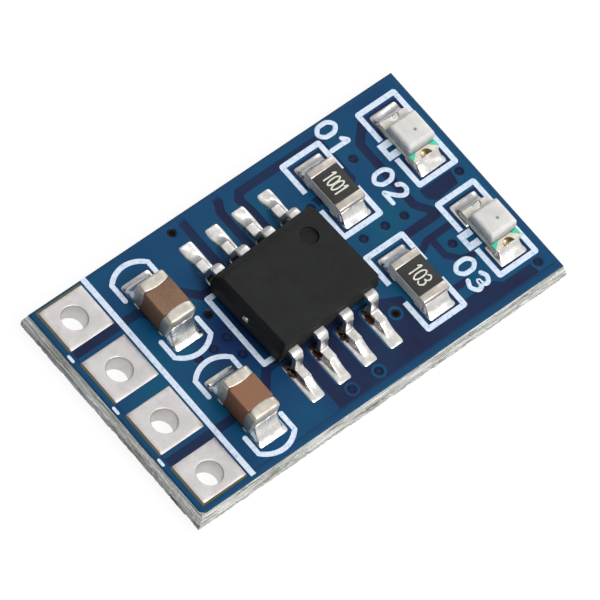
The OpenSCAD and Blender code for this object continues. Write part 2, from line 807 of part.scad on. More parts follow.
module resistor_film(n) {
    color("dimgray") on_lands(RES[n], 0) translate([0, 0, res_metal + res_core_h + film_t / 2])
        cube([res_w * 0.7, res_mid_l, film_t], center = true);
}

module resistor_glaze(n) {
    color([0.13, 0.13, 0.12]) on_lands(RES[n], 0) translate([0, 0, res_metal + res_core_h])
        difference() {
            translate([0, 0, (film_t + glaze_t) / 2])
                cube([res_w * 0.98, res_mid_l, film_t + glaze_t], center = true);
            translate([0, 0, film_t / 2]) cube([res_w * 0.7, res_mid_l + cut, film_t], center = true);
        }
}

module resistor_end(n, side) {
    color("lightgray") on_lands(RES[n], 0) translate([0, side * (res_l - res_end) / 2, res_h / 2])
        difference() {
            cube([res_w, res_end, res_h], center = true);
            translate([0, -side * res_metal, 0]) cube([2 * res_w, res_end, res_core_h], center = true);
        }
}

module resistor_solder(n) {
    end_solder(RES[n], 0, res_w, res_l, res_h, small_span, small_land_w, small_land_l);
}

// Laminate base with a half-round plated notch in each end
led_end_l = (led_l - lens_l) / 2;
led_top_z = led_base_t - led_metal;

module notches(r, h) { for (s = [-1, 1]) translate([0, s * led_l / 2, -cut]) cylinder(r = r, h = h); }

module led_base(n) {
    color("beige") on_lands(LED[n], LED_SHIFT[n]) difference() {
        translate([0, 0, led_base_t / 2])
            cube([led_w, led_l, led_base_t - 2 * led_metal], center = true);
        notches(notch_r + led_metal, led_h + 2 * cut);
    }
}

module led_end(n, side) {
    color("lightgray") on_lands(LED[n], LED_SHIFT[n]) difference() {
        union() {
            for (z = [0, led_top_z])
                translate([-led_w / 2, side > 0 ? led_l / 2 - led_end_l : -led_l / 2, z])
                cube([led_w, led_end_l, led_metal]);
            intersection() {
                translate([0, side * led_l / 2, 0]) cylinder(r = notch_r + led_metal, h = led_base_t);
                translate([0, 0, led_base_t / 2]) cube([led_w, led_l, led_base_t], center = true);
            }
        }
        notches(notch_r, led_h + 2 * cut);
    }
}

module led_die(n) {
    color("gold") on_lands(LED[n], LED_SHIFT[n])
        translate([0, 0, led_top_z + led_die_h / 2]) cube([led_die, led_die, led_die_h], center = true);
}

// Loop from the top of the die to the base
module led_wire(n) {
    run = 0.4;
    rise = led_die_h + 0.08;
    color("gold") on_lands(LED[n], LED_SHIFT[n]) translate([0, 0, led_top_z]) along_x(wire_t)
        polygon([[0, led_die_h], [wire_t, led_die_h], [wire_t, rise - wire_t],
            [run * 0.6, rise - wire_t], [run - wire_t, 0], [run, 0],
            [run * 0.6 + wire_t, rise], [0, rise]]);
}

module led_lens(n) {
    lean = (led_h - led_top_z) * tan(lens_draft);
    color([0.93, 0.92, 0.88]) difference() {
        on_lands(LED[n], LED_SHIFT[n]) along_x(led_w) polygon([[-lens_l / 2, led_top_z],
            [lens_l / 2, led_top_z], [lens_l / 2 - lean, led_h], [-lens_l / 2 + lean, led_h]]);
        led_die(n);
        led_wire(n);
    }
}

// Two green corners printed on the metal at one end
module led_mark(n) {
    side = led_w / 2;
    y = led_l / 2 - led_end_l;
    color("mediumseagreen") on_lands(LED[n], LED_SHIFT[n]) translate([0, 0, led_base_t])
        linear_extrude(ink_t) for (s = [-1, 1])
            polygon([[s * side, -y], [s * (side - 0.33), -y], [s * side, -y - 0.27]]);
}

module led_solder(n) {
    difference() {
        end_solder(LED[n], LED_SHIFT[n], 2 * notch_r, led_l, led_base_t / fillet_share,
            small_span, small_land_w, small_land_l);
        led_base(n);
    }
}

substrate();
copper_top();
copper_bottom();
solder_mask_top();
solder_mask_bottom();
silkscreen();
vias();
terminal(0);  // barrel_1
terminal(1);  // barrel_2
terminal(2);  // barrel_3
terminal(3);  // barrel_4
chip_body();
chip_paddle();
chip_die();
chip_bond_wires();
chip_solder();
lead(0);  // chip_lead_1
lead(1);  // chip_lead_2
lead(2);  // chip_lead_3
lead(3);  // chip_lead_4
lead(4);  // chip_lead_5
lead(5);  // chip_lead_6
lead(6);  // chip_lead_7
lead(7);  // chip_lead_8
capacitor_body(0);  // capacitor_1_body
capacitor_end(0, 1);  // capacitor_1_end_a
capacitor_end(0, -1);  // capacitor_1_end_b
capacitor_solder(0);  // capacitor_1_solder
capacitor_body(1);  // capacitor_2_body
capacitor_end(1, 1);  // capacitor_2_end_a
capacitor_end(1, -1);  // capacitor_2_end_b
capacitor_solder(1);  // capacitor_2_solder
resistor_ceramic(0);  // resistor_1_ceramic
resistor_film(0);  // resistor_1_film
resistor_glaze(0);  // resistor_1_glaze
resistor_end(0, 1);  // resistor_1_end_a
resistor_end(0, -1);  // resistor_1_end_b
resistor_solder(0);  // resistor_1_solder
resistor_ceramic(1);  // resistor_2_ceramic
resistor_film(1);  // resistor_2_film
resistor_glaze(1);  // resistor_2_glaze
resistor_end(1, 1);  // resistor_2_end_a
resistor_end(1, -1);  // resistor_2_end_b
resistor_solder(1);  // resistor_2_solder
led_base(0);  // led_1_base
led_end(0, 1);  // led_1_end_a
led_end(0, -1);  // led_1_end_b
led_die(0);  // led_1_die
led_wire(0);  // led_1_wire
led_lens(0);  // led_1_lens
led_mark(0);  // led_1_mark
led_solder(0);  // led_1_solder
led_base(1);  // led_2_base
led_end(1, 1);  // led_2_end_a
led_end(1, -1);  // led_2_end_b
led_die(1);  // led_2_die
led_wire(1);  // led_2_wire
led_lens(1);  // led_2_lens
led_mark(1);  // led_2_mark
led_solder(1);  // led_2_solder
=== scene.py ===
"""Looks of a small blue cell-charger board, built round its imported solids.

Shapes are worked out in millimetres in the part's frame, and scaled to metres as each mesh is made.
"""
import json

import bpy
import numpy as np
from mathutils import Matrix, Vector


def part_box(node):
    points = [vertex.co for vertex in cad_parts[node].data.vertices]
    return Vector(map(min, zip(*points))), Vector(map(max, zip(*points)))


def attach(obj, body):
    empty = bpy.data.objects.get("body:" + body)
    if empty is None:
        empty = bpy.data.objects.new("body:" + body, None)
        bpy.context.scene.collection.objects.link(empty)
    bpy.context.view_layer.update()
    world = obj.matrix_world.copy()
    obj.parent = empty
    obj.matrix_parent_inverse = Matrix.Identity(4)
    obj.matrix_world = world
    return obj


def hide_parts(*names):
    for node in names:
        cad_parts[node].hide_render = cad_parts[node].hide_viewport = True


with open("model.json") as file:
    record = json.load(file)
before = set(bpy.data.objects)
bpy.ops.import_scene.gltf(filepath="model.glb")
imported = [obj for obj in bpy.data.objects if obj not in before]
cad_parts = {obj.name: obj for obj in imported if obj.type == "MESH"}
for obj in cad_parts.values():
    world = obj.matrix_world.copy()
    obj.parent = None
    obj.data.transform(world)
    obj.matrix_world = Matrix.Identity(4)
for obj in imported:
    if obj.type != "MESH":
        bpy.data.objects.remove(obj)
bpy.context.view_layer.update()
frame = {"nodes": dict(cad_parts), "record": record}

# THE LAMINATE
# Woven glass in epoxy. Each edge was scored from both faces and snapped, so a rough web of broken
# fibres stands out between two cut bevels. The four wire holes are drilled through.

MM = 0.001


def srgb(code):
    """An sRGB hex colour as linear red, green, blue and alpha."""
    c = np.array([int(code[i:i + 2], 16) for i in (1, 3, 5)]) / 255
    c = np.where(c <= 0.04045, c / 12.92, ((c + 0.055) / 1.055) ** 2.4)
    return (*c.tolist(), 1.0)


def add(tree, kind, inputs=None, **settings):
    """Adds one shader node. An input takes a value, or an output of another node to link."""
    made = tree.nodes.new("ShaderNode" + kind)
    for name, value in settings.items():
        setattr(made, name, value)
    for name, value in (inputs or {}).items():
        if isinstance(value, bpy.types.NodeSocket):
            tree.links.new(value, made.inputs[name])
        else:
            made.inputs[name].default_value = value
    return made


def surface(name, **values):
    """A new Principled material with these values, such as Roughness or Base_Color."""
    made = bpy.data.materials.new(name)
    made.use_nodes = True
    shader = made.node_tree.nodes["Principled BSDF"]
    for key, value in values.items():
        value = srgb(value) if isinstance(value, str) else value
        shader.inputs[key.replace("_", " ")].default_value = value
    return made, made.node_tree, shader


def ramp(tree, factor, *stops):
    """A colour ramp through (place, hex colour) stops."""
    made = add(tree, "ValToRGB", {"Fac": factor})
    cells = made.color_ramp.elements
    while len(cells) < len(stops):
        cells.new(0.5)
    for cell, (place, code) in zip(cells, stops):
        cell.position = place
        cell.color = srgb(code)
    return made.outputs["Color"]


# Ends of a ramp that picks one thing or another
OFF, ON = "#000000", "#ffffff"


def grain(tree, size, detail=3.0, rough=0.55, stretch=(1, 1, 1), where=None):
    """Noise with lumps about size mm across, on Object coordinates or a given vector in mm."""
    where = where or add(tree, "VectorMath", {"Vector": add(tree, "TexCoord").outputs["Object"],
                                              "Scale": 1 / MM}, operation="SCALE").outputs[0]
    vector = add(tree, "Mapping", {"Vector": where, "Scale": stretch}).outputs["Vector"]
    return add(tree, "TexNoise", {"Vector": vector, "Scale": 1 / size, "Detail": detail,
                                  "Roughness": rough}).outputs["Fac"]


def paint(tree, shader, colour):
    """Links a colour to the shader."""
    tree.links.new(colour, shader.inputs["Base Color"])


def speckled(name, size, low, high, detail=3.0, at=(0.3, 0.7), nodes=(), **values):
    """A surface that drifts from one hex colour to another in lumps of size mm, with the two at
    these levels of the noise, given to these CAD nodes."""
    made, tree, shader = surface(name, **values)
    paint(tree, shader, ramp(tree, grain(tree, size, detail), (at[0], low), (at[1], high)))
    dress(made, *nodes)
    return made, tree, shader


def blend(tree, factor, a, b):
    """Mixes two colours, each an output or a hex code."""
    a, b = (srgb(c) if isinstance(c, str) else c for c in (a, b))
    return add(tree, "Mix", {0: factor, 6: a, 7: b}, data_type="RGBA").outputs[2]


def bump(tree, shader, depth, *lumps):
    """Bumps of depth mm on the shader, in lumps that grain makes."""
    made = add(tree, "Bump", {"Height": grain(tree, *lumps), "Distance": depth * MM})
    tree.links.new(made.outputs["Normal"], shader.inputs["Normal"])


def join_grid(rows, cols, round_rows=False):
    """Quads that join rows x cols points, closed across the columns and, if asked, the rows."""
    i = np.arange(rows if round_rows else rows - 1)[:, None]
    j = np.arange(cols)[None, :]
    i2, j2 = (i + 1) % rows, (j + 1) % cols
    return np.stack([i * cols + j, i2 * cols + j, i2 * cols + j2, i * cols + j2], -1).reshape(-1, 4)


def outward(points, faces):
    """Turns a closed shell's faces round if its signed volume is negative."""
    p = points - points.mean(0)
    a, b, c, d = (p[faces[:, k]] for k in range(4))
    return faces if (a * (np.cross(b, c) + np.cross(c, d))).sum() > 0 else faces[:, ::-1]


def shell(points):
    """A closed shell from rings of points (rings, round, xyz), zipped shut across both end rings."""
    rows, cols = points.shape[:2]
    k = np.arange(cols // 2 - 1)
    first = np.stack([k, k + 1, cols - 2 - k, cols - 1 - k], -1)
    last = first[:, ::-1] + (rows - 1) * cols
    flat = points.reshape(-1, 3)
    return flat, outward(flat, np.concatenate([join_grid(rows, cols), first, last]))


def ring(points):
    """A closed tube bent into a ring, from points (round the ring, round the tube, xyz)."""
    flat = points.reshape(-1, 3)
    return flat, outward(flat, join_grid(*points.shape[:2], round_rows=True))


def placed(name, data):
    """A new object in the scene."""
    made = bpy.data.objects.new(name, data)
    bpy.context.scene.collection.objects.link(made)
    return made


def piece(name, shells, finish, replaces=(), fields=None, uv=None):
    """One object from shells of (points in mm, quads), with vertex fields and a UV map if given."""
    starts = np.cumsum([0] + [len(p) for p, _ in shells])
    points = np.concatenate([p for p, _ in shells]) * MM
    faces = np.concatenate([f + s for (_, f), s in zip(shells, starts)])
    mesh = bpy.data.meshes.new(name)
    mesh.from_pydata(points.tolist(), [], faces.tolist())
    mesh.polygons.foreach_set("use_smooth", np.ones(len(faces), bool))
    for key, values in (fields or {}).items():
        mesh.attributes.new(key, "FLOAT", "POINT").data.foreach_set("value", values.astype(np.float32))
    if uv is not None:
        corner = np.empty(len(mesh.loops), np.int32)
        mesh.loops.foreach_get("vertex_index", corner)
        mesh.uv_layers.new(name="along").data.foreach_set("uv", uv[corner].astype(np.float32).ravel())
    mesh.materials.append(finish)
    made = placed(name, mesh)
    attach(made, "root")
    if replaces:
        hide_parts(*replaces)
    return made


def dress(finish, *nodes):
    """Gives CAD nodes that keep their own shape a finish."""
    for node in nodes:
        mesh = frame["nodes"][node].data
        mesh.materials.clear()
        mesh.materials.append(finish)


def extent(node):
    """A CAD node's lowest and highest corners in mm."""
    return tuple(np.array(corner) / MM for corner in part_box(node))


def waves(x, y, size, seed):
    """Smooth noise, about -1 to 1: ten sine waves in set directions, with lengths near size mm."""
    draw = np.random.default_rng(seed)
    total = 0
    for turn, phase, length in draw.uniform((0, 0, 0.6), (2 * np.pi, 2 * np.pi, 1.8), (10, 3)):
        along = x * np.cos(turn) + y * np.sin(turn)
        total = total + np.sin(2 * np.pi * along / (size * length) + phase) / 4
    return total


def smooth(t):
    """0 below 0, 1 above 1 and an even S between."""
    t = np.clip(t, 0, 1)
    return t * t * (3 - 2 * t)


core_lo, core_hi = extent("substrate")
face_lo, face_hi = extent("solder_mask_bottom")
top_z = extent("solder_mask_top")[1][2]
web_out = face_lo[0] - core_lo[0]
web_out_far = core_hi[0] - face_hi[0]
score_depth = 0.36
# How far the torn skin reaches in over the core
rim_w = 0.25


def snapped_edge():
    """Rings round the board: a profile (out from the face's edge, height) carried along the four
    mitred sides. Fibres, chips and notches bite up to 0.12 mm out of the web, and the bevels are
    chattered. What stands out on the far side and at the LED end, which snapped cleaner, is scaled
    down. Returns the rings and their UV in mm, u along the edge and v round the profile."""
    step, ease = 0.04, 0.03
    fibre_bite, chip_bite, notch_bite, bevel_bite = 0.035, 0.07, 0.02, 0.02
    lo, hi = core_lo[2], core_hi[2]
    web_lo, web_hi = score_depth, top_z - score_depth
    knots = np.array([[-rim_w, lo], [-ease, lo], [0, lo + 0.01], [web_out, web_lo],
                      [web_out, web_hi], [0, hi - 0.01], [-ease, hi], [-rim_w, hi]])
    counts = [1, 1, 11, 13, 11, 1, 1]
    profile = np.concatenate([a + (b - a) * np.linspace(0, 1, n, endpoint=False)[:, None]
                              for a, b, n in zip(knots[:-1], knots[1:], counts)] + [knots[-1:]])
    half = (face_hi[:2] - face_lo[:2]) / 2
    turns = np.array([[-1, -1], [1, -1], [1, 1], [-1, 1], [-1, -1]])
    sides, start = [], 0
    for a, b in zip(turns[:-1], turns[1:]):
        run = np.abs((b - a) * half).max()
        t = np.linspace(0, 1, int(run / step), endpoint=False)[:, None]
        sides.append(np.hstack([a + 0 * t, b + 0 * t, t, start + t * run]))
        start += run
    side = np.concatenate(sides)
    t, u = side[:, 4:5], side[:, 5:6]
    out, z = np.broadcast_arrays(profile[:, 0], profile[:, 1] + 0 * u)
    middle = (web_lo + web_hi) / 2
    web = 1 - smooth((np.abs(z - middle) - (web_hi - middle) * 0.8) / 0.12)
    bevel = smooth(out / 0.06) * (1 - web)
    fibres = 0.5 + 0.5 * waves(u * 0.06, z, 0.06, 3)
    chips = smooth(waves(u * 0.5, z * 2, 0.6, 5) * 0.9 - 0.1)
    notches = smooth(waves(u, z * 0.5, 0.2, 8) - 0.1)
    torn = web * (fibre_bite * fibres + chip_bite * chips + notch_bite * notches)
    torn = torn + bevel * bevel_bite * (fibres + notches)
    out = out - np.maximum(torn, 0)
    z = z + bevel * 0.012 * waves(u, z, 0.18, 9)
    out = out[..., None]
    a, b = (corner * (half + np.where((out > 0) & (corner > 0), out * web_out_far / web_out, out))
            for corner in (side[:, None, 0:2], side[:, None, 2:4]))
    plan = a + (b - a) * t[..., None] + (face_lo[:2] + face_hi[:2]) / 2
    v = np.concatenate([[0], np.cumsum(np.hypot(*np.diff(profile, axis=0).T))])
    uv = np.stack(np.broadcast_arrays(u, v), -1).reshape(-1, 2)
    return np.concatenate([plan, z[..., None]], -1), uv


# Snapped glass-epoxy: dull pale grey-green resin, dark streaks along the cloth, white fibre ends
laminate, tree, shader = surface("snapped_glass_epoxy", Roughness=0.68, IOR=1.52)
edge_uv = add(tree, "UVMap", uv_map="along").outputs["UV"]
streaks = grain(tree, 0.6, 6, 0.68, (0.25, 9, 1), edge_uv)
resin = ramp(tree, streaks, (0.36, "#43443f"), (0.43, "#8a8b84"), (0.51, "#b4b5af"), (0.6, "#dcddd9"))
ends = ramp(tree, grain(tree, 0.1, 3, 0.7, (0.3, 1, 1), edge_uv), (0.56, OFF), (0.72, ON))
paint(tree, shader, blend(tree, ends, resin, "#e4e5e1"))
bump(tree, shader, 0.03, 0.12, 4, 0.6, (0.15, 2.5, 1), edge_uv)

edge, edge_uv_mm = snapped_edge()
piece("board_edge", [ring(edge)], laminate, uv=edge_uv_mm)


def rounded_ring(x0, x1, y0, y1, z, corner, n=6):
    """A ring of 4n points per row round rectangles with round corners; bounds are arrays by row."""
    quarter = np.repeat(np.arange(4), n)
    turn = (quarter + np.tile(np.linspace(0, 1, n), 4)) * np.pi / 2
    bounds = np.broadcast_arrays(x0, x1, y0, y1, z)
    x0, x1, y0, y1, z = (np.atleast_1d(v).astype(float)[:, None] for v in bounds)
    r = np.minimum(corner, 0.49 * np.minimum(x1 - x0, y1 - y0))
    x = np.where((quarter == 0) | (quarter == 3), x1 - r, x0 + r) + r * np.cos(turn)
    y = np.where(quarter < 2, y1 - r, y0 + r) + r * np.sin(turn)
    return np.stack([x, y, z + 0 * x], -1)


def cut_out(body, cutter):
    """Takes the cutter's volume out of body for good, and removes the cutter."""
    change = body.modifiers.new("cut", "BOOLEAN")
    change.object, change.operation, change.solver = cutter, "DIFFERENCE", "EXACT"
    result = bpy.data.meshes.new_from_object(body.evaluated_get(bpy.context.evaluated_depsgraph_get()))
    body.modifiers.clear()
    body.data = result
    bpy.data.objects.remove(cutter)


mounts = {m["name"]: m for m in frame["record"]["mounts"]}
holes = np.array([mounts[f"terminal_{i}_hole"]["pos_m"] for i in (1, 2, 3, 4)]) / MM
hole_r = mounts["terminal_1_hole"]["dims"]["r_mm"]
barrel_wall, overlap, drill_gap = 0.06, 0.01, 0.02
barrel_r = hole_r + barrel_wall

# Inside of the laminate, never seen once the foil and the barrels are on
core_finish = speckled("glass_epoxy_core", 0.3, "#8f8a5e", "#aaa678", at=(0.35, 0.65), Roughness=0.6,
                       IOR=1.52)[0]
in_lo, in_hi = face_lo + rim_w - overlap, face_hi - rim_w + overlap
slab = rounded_ring(in_lo[0], in_hi[0], in_lo[1], in_hi[1], np.array([core_lo[2], core_hi[2]]), 0.05)
core = piece("board_core", [shell(slab)], core_finish, ["substrate"])
open_vias, via_r = np.array([[-2.33, 4.47], [-3.39, 1.14], [2.34, -2.8]]), 0.14
bores = [(*h[:2], barrel_r) for h in holes] + [(*v, via_r + drill_gap) for v in open_vias]
drills = [shell(rounded_ring(x - r, x + r, y - r, y + r, np.array([-1.0, 3.0]), r, 12))
          for x, y, r in bores]
cut_out(core, piece("drills", drills, core_finish))

# COPPER
# Foil etched on both faces, and barrels plated through the small via holes; all but the open vias
# lies under lacquer, tin or solder.

# Etched foil: pink-brown, satin. The barrels of the open vias are painted nearly black: tarnish,
# and painted shade inside the narrow holes.
speckled("etched_copper_foil", 0.2, "#b5713f", "#c98a55", at=(0.35, 0.65),
         nodes=("copper_top", "copper_bottom"), Metallic=1.0, Roughness=0.35)
speckled("stained_via_copper", 0.08, "#1b1712", "#4a3a28", at=(0.35, 0.65), nodes=("vias",),
         Metallic=0.6, Roughness=0.55)

# THE LACQUER
# Blue solder mask, poured over the etched foil: it stands a hair higher and looks brighter over
# copper, and sinks to a dark navy over bare laminate and into the small covered vias.

mask_sink = 0.01
face_nick = 0.18
# Radius of the lacquer's window round a wire hole, and how far a land's window reaches past it
hole_window_r, strip_w = 0.72, 0.08
uncut = extent("barrel_2")
land_half = np.array([uncut[1][0] - holes[1][0], (uncut[1][1] - uncut[0][1]) / 2])


def plan_edges(node):
    """The outline of a flat CAD node's top, as segments (n, 2 ends, xy) in mm: the edges of its
    upright triangles that lie at that height."""
    z = extent(node)[1][2]
    mesh = frame["nodes"][node].data
    mesh.calc_loop_triangles()
    points = np.empty(len(mesh.vertices) * 3)
    mesh.vertices.foreach_get("co", points)
    corners = np.empty(len(mesh.loop_triangles) * 3, np.int32)
    mesh.loop_triangles.foreach_get("vertices", corners)
    tri = points.reshape(-1, 3)[corners.reshape(-1, 3)] / MM
    normal = np.cross(tri[:, 1] - tri[:, 0], tri[:, 2] - tri[:, 0])
    tri = tri[np.abs(normal[:, 2]) < 0.5 * np.linalg.norm(normal, axis=1)]
    edges = np.concatenate([tri[:, [0, 1]], tri[:, [1, 2]], tri[:, [2, 0]]])
    return edges[(np.abs(edges[:, :, 2] - z) < 0.002).all(1)][:, :, :2]


def signed_distance(x, y, edges):
    """Distance in mm from each point to the nearest edge, less than 0 inside the outline."""
    best = np.full(x.shape, 1e9)
    inside = np.zeros(x.shape, bool)
    for part in np.array_split(edges, max(1, len(edges) // 40)):
        (ax, ay), (bx, by) = part[:, 0].T[..., None], part[:, 1].T[..., None]
        dx, dy = bx - ax, by - ay
        t = np.clip(((x - ax) * dx + (y - ay) * dy) / (dx * dx + dy * dy + 1e-12), 0, 1)
        best = np.minimum(best, np.hypot(x - ax - t * dx, y - ay - t * dy).min(0))
        with np.errstate(divide="ignore", invalid="ignore"):
            crossed = ((ay > y) != (by > y)) & (x < ax + (y - ay) * dx / dy)
        inside ^= (crossed.sum(0) % 2).astype(bool)
    return np.where(inside, -best, best)


def mask_sheet(step=0.06):
    """A thin closed sheet over the face, its top at
    z = top_z - mask_sink * S((d + 0.01) / 0.08) - dips + ripple, where d is the distance out of the
    copper and S an even step. Vias and wire holes are cut out, and grid points near a hole's rim
    are moved onto it. Returns the shell and the vertex fields."""
    window_dip, edge_dip, via_dip, ripple = 0.02, 0.02, 0.015, 0.002
    rim_reach = step * 0.72
    nx, ny = np.round((face_hi - face_lo)[:2] / step).astype(int) + 1
    x, y = np.meshgrid(np.linspace(face_lo[0], face_hi[0], nx), np.linspace(face_lo[1], face_hi[1], ny),
                       indexing="ij")
    nick = np.maximum(face_nick - (x - face_lo[0]) - (y - face_lo[1]), 0)
    x, y = x + nick / 2, y + nick / 2
    holes_cut = [(*p, via_r) for p in open_vias] + [(*h[:2], hole_window_r) for h in holes]
    for cx, cy, r in holes_cut:
        away = np.hypot(x - cx, y - cy)
        near = np.abs(away - r) < rim_reach
        scale = np.where(near, r / np.maximum(away, 1e-6), 1)
        x, y = cx + (x - cx) * scale, cy + (y - cy) * scale
    copper_d, via_d = (signed_distance(x.ravel(), y.ravel(), plan_edges(node)).reshape(x.shape)
                       for node in ("copper_top", "vias"))
    window_d = np.full(x.shape, 1e9)
    for i, hole in enumerate(holes, 1):
        lo, hi = extent(f"barrel_{i}")
        lo, hi = (np.clip(v[:2], hole[:2] - land_half, hole[:2] + land_half)
                  for v in (lo - strip_w, hi + strip_w))
        out = np.maximum.reduce([lo[0] - x, x - hi[0], lo[1] - y, y - hi[1]])
        window_d = np.minimum(window_d, out)
    edge_d = np.minimum.reduce([x - face_lo[0], face_hi[0] - x, y - face_lo[1], face_hi[1] - y])
    z = top_z - mask_sink * smooth((copper_d + 0.01) / 0.08) + ripple * waves(x, y, 1.6, 4)
    z = z - window_dip * smooth(-window_d / 0.05) - edge_dip * smooth(1 - edge_d / 0.07)
    z = z - via_dip * smooth(1 - np.abs(via_d) / 0.12) * (copper_d > -0.05)
    keep = np.ones((nx - 1, ny - 1), bool)
    mid_x, mid_y = (0.25 * (v[1:, 1:] + v[:-1, 1:] + v[1:, :-1] + v[:-1, :-1]) for v in (x, y))
    for cx, cy, r in holes_cut:
        keep &= np.hypot(mid_x - cx, mid_y - cy) > r
    index = np.arange(nx * ny).reshape(nx, ny)
    quads = np.stack([index[:-1, :-1], index[1:, :-1], index[1:, 1:], index[:-1, 1:]], -1)[keep]
    top = np.stack([x, y, z], -1).reshape(-1, 3)
    bottom = top * [1, 1, 0] + [0, 0, core_hi[2]]
    edges = np.concatenate([quads[:, [k, (k + 1) % 4]] for k in range(4)])
    code = edges[:, 0] * nx * ny + edges[:, 1]
    lone = edges[~np.isin(code, edges[:, 1] * nx * ny + edges[:, 0])]
    walls = np.stack([lone[:, 1], lone[:, 0], lone[:, 0] + nx * ny, lone[:, 1] + nx * ny], -1)
    faces = np.concatenate([quads, quads[:, ::-1] + nx * ny, walls])
    used = np.unique(faces)
    renumber = np.zeros(2 * nx * ny, int)
    renumber[used] = np.arange(len(used))
    gaps = {"copper_gap": copper_d, "window_gap": window_d, "via_gap": via_d, "edge_gap": edge_d}
    fields = {name: np.tile(np.clip(d, -0.5, 0.5).ravel(), 2)[used] for name, d in gaps.items()}
    return (np.concatenate([top, bottom])[used], renumber[faces]), fields


def spot(tree, x, y, inner, outer):
    """1 within inner mm of the upright line at x, y, and 0 beyond outer."""
    flat = add(tree, "Mapping", {"Vector": add(tree, "TexCoord").outputs["Object"],
                                 "Scale": (1 / MM, 1 / MM, 0)}).outputs[0]
    away = add(tree, "VectorMath", {0: flat, 1: (float(x), float(y), 0)}, operation="DISTANCE")
    return add(tree, "MapRange", {"Value": away.outputs["Value"], "From Min": outer,
                                  "From Max": inner}).outputs[0]


def field(tree, name, low, high):
    """A vertex field in mm, mapped so that low is 0 and high is 1."""
    value = add(tree, "Attribute", attribute_name=name).outputs["Fac"]
    return add(tree, "MapRange", {"Value": value, "From Min": low, "From Max": high}).outputs[0]


# Glossy blue lacquer: bright over copper but for a patch of painted shade beside the chip, navy over
# laminate, a thin paler line at the foil's edge, and brown bare laminate where a window reaches past
# its land
lacquer, tree, shader = surface("blue_solder_mask", Roughness=0.3, IOR=1.45, Specular_IOR_Level=0.14)
cloud = grain(tree, 2.6, 2, 0.5)
over_copper = ramp(tree, cloud, (0.32, "#10385f"), (0.5, "#104064"), (0.68, "#0d4967"))
# Painted shade: the lacquer beside the chip is darkened where the chip shades it
over_copper = blend(tree, spot(tree, -3.3, 0.0, 0.3, 1.7), over_copper, "#10244c")
over_glass = ramp(tree, grain(tree, 1.4, 4), (0.35, "#1a1f3d"), (0.65, "#172a48"))
over_glass = blend(tree, ramp(tree, field(tree, "edge_gap", 0, 0.5), (0.4, ON), (0.75, OFF)),
                   over_glass, "#103f62")
tone = blend(tree, ramp(tree, field(tree, "copper_gap", -0.04, 0.04), (0.3, OFF), (0.7, ON)),
             over_copper, over_glass)
line = ramp(tree, field(tree, "copper_gap", -0.12, 0.08), (0.3, OFF), (0.5, "#5a5a5a"), (0.66, OFF))
tone = blend(tree, line, tone, "#1a527c")
via_line = ramp(tree, field(tree, "via_gap", -0.05, 0.1), (0.35, ON), (0.75, OFF))
tone = blend(tree, via_line, tone, "#0b1330")
bare = blend(tree, ramp(tree, field(tree, "copper_gap", -0.02, 0.02), (0.4, OFF), (0.6, ON)),
             "#b9a884", "#5d5636")
tone = blend(tree, ramp(tree, field(tree, "window_gap", -0.03, 0.03), (0.35, ON), (0.6, OFF)),
             tone, bare)
paint(tree, shader, tone)
bump(tree, shader, 0.004, 0.25, 2)

sheet, sheet_fields = mask_sheet()
piece("solder_mask_top_sheet", [sheet], lacquer, ["solder_mask_top"], sheet_fields)

_, tree, shader = speckled("blue_solder_mask_below", 2.6, "#123b66", "#0f4f72", 2, (0.35, 0.65),
                           ("solder_mask_bottom",), Roughness=0.3, IOR=1.5)
bump(tree, shader, 0.004, 0.25, 2)

# THE WHITE PRINT
# Epoxy ink screened on the lacquer: the parts' outlines, and a number beside each of three parts.

# Thin epoxy ink: matte, bluish where the lacquer shows through
ink, tree, shader = surface("white_screen_ink", Roughness=0.5, IOR=1.5)
paint(tree, shader, ramp(tree, grain(tree, 0.12, 4), (0.3, "#9fb4cf"), (0.42, "#c2d0e2"),
                         (0.7, "#d3deea")))
bump(tree, shader, 0.006, 0.06, 3)
dress(ink, "silkscreen")

# Single-stroke digits in a cell 0.62 wide and 1 high, as knots of a smooth path
DIGITS = {
    "0": [(0.31, 1), (0.05, 0.8), (0, 0.5), (0.05, 0.2), (0.31, 0), (0.57, 0.2), (0.62, 0.5),
          (0.57, 0.8), (0.31, 1)],
    "1": [(0.1, 0.8), (0.33, 1), (0.33, 0.66), (0.33, 0.33), (0.33, 0)],
    "2": [(0.02, 0.78), (0.12, 0.96), (0.4, 1), (0.6, 0.8), (0.5, 0.5), (0.2, 0.2), (0, 0), (0.3, 0),
          (0.62, 0)],
    "3": [(0.02, 0.88), (0.28, 1), (0.56, 0.84), (0.5, 0.6), (0.24, 0.53), (0.54, 0.45), (0.6, 0.2),
          (0.3, 0), (0, 0.12)],
}


def smooth_path(knots, per=8):
    """Points on the Catmull-Rom curve through the knots, closed if it ends where it starts."""
    closed = knots[0] == knots[-1]
    p = np.array([knots[-2 if closed else 0], *knots, knots[1 if closed else -1]], float)
    t = np.linspace(0, 1, per, endpoint=False)[:, None, None]
    a, b, c, d = p[:-3], p[1:-2], p[2:-1], p[3:]
    curve = 0.5 * (2 * b + (c - a) * t + (2 * a - 5 * b + 4 * c - d) * t ** 2
                   + (3 * b - a - 3 * c + d) * t ** 3)
    return np.concatenate([curve.transpose(1, 0, 2).reshape(-1, 2), p[-2:-1]])


def heading(path, closed=False):
    """Unit steps along a path of points in a plane, and the same turned a quarter to the left."""
    ahead = np.roll(path, -1, 0) - np.roll(path, 1, 0) if closed else np.gradient(path, axis=0)
    ahead = ahead / np.linalg.norm(ahead, axis=1)[:, None]
    return ahead, np.stack([-ahead[:, 1], ahead[:, 0]], -1)


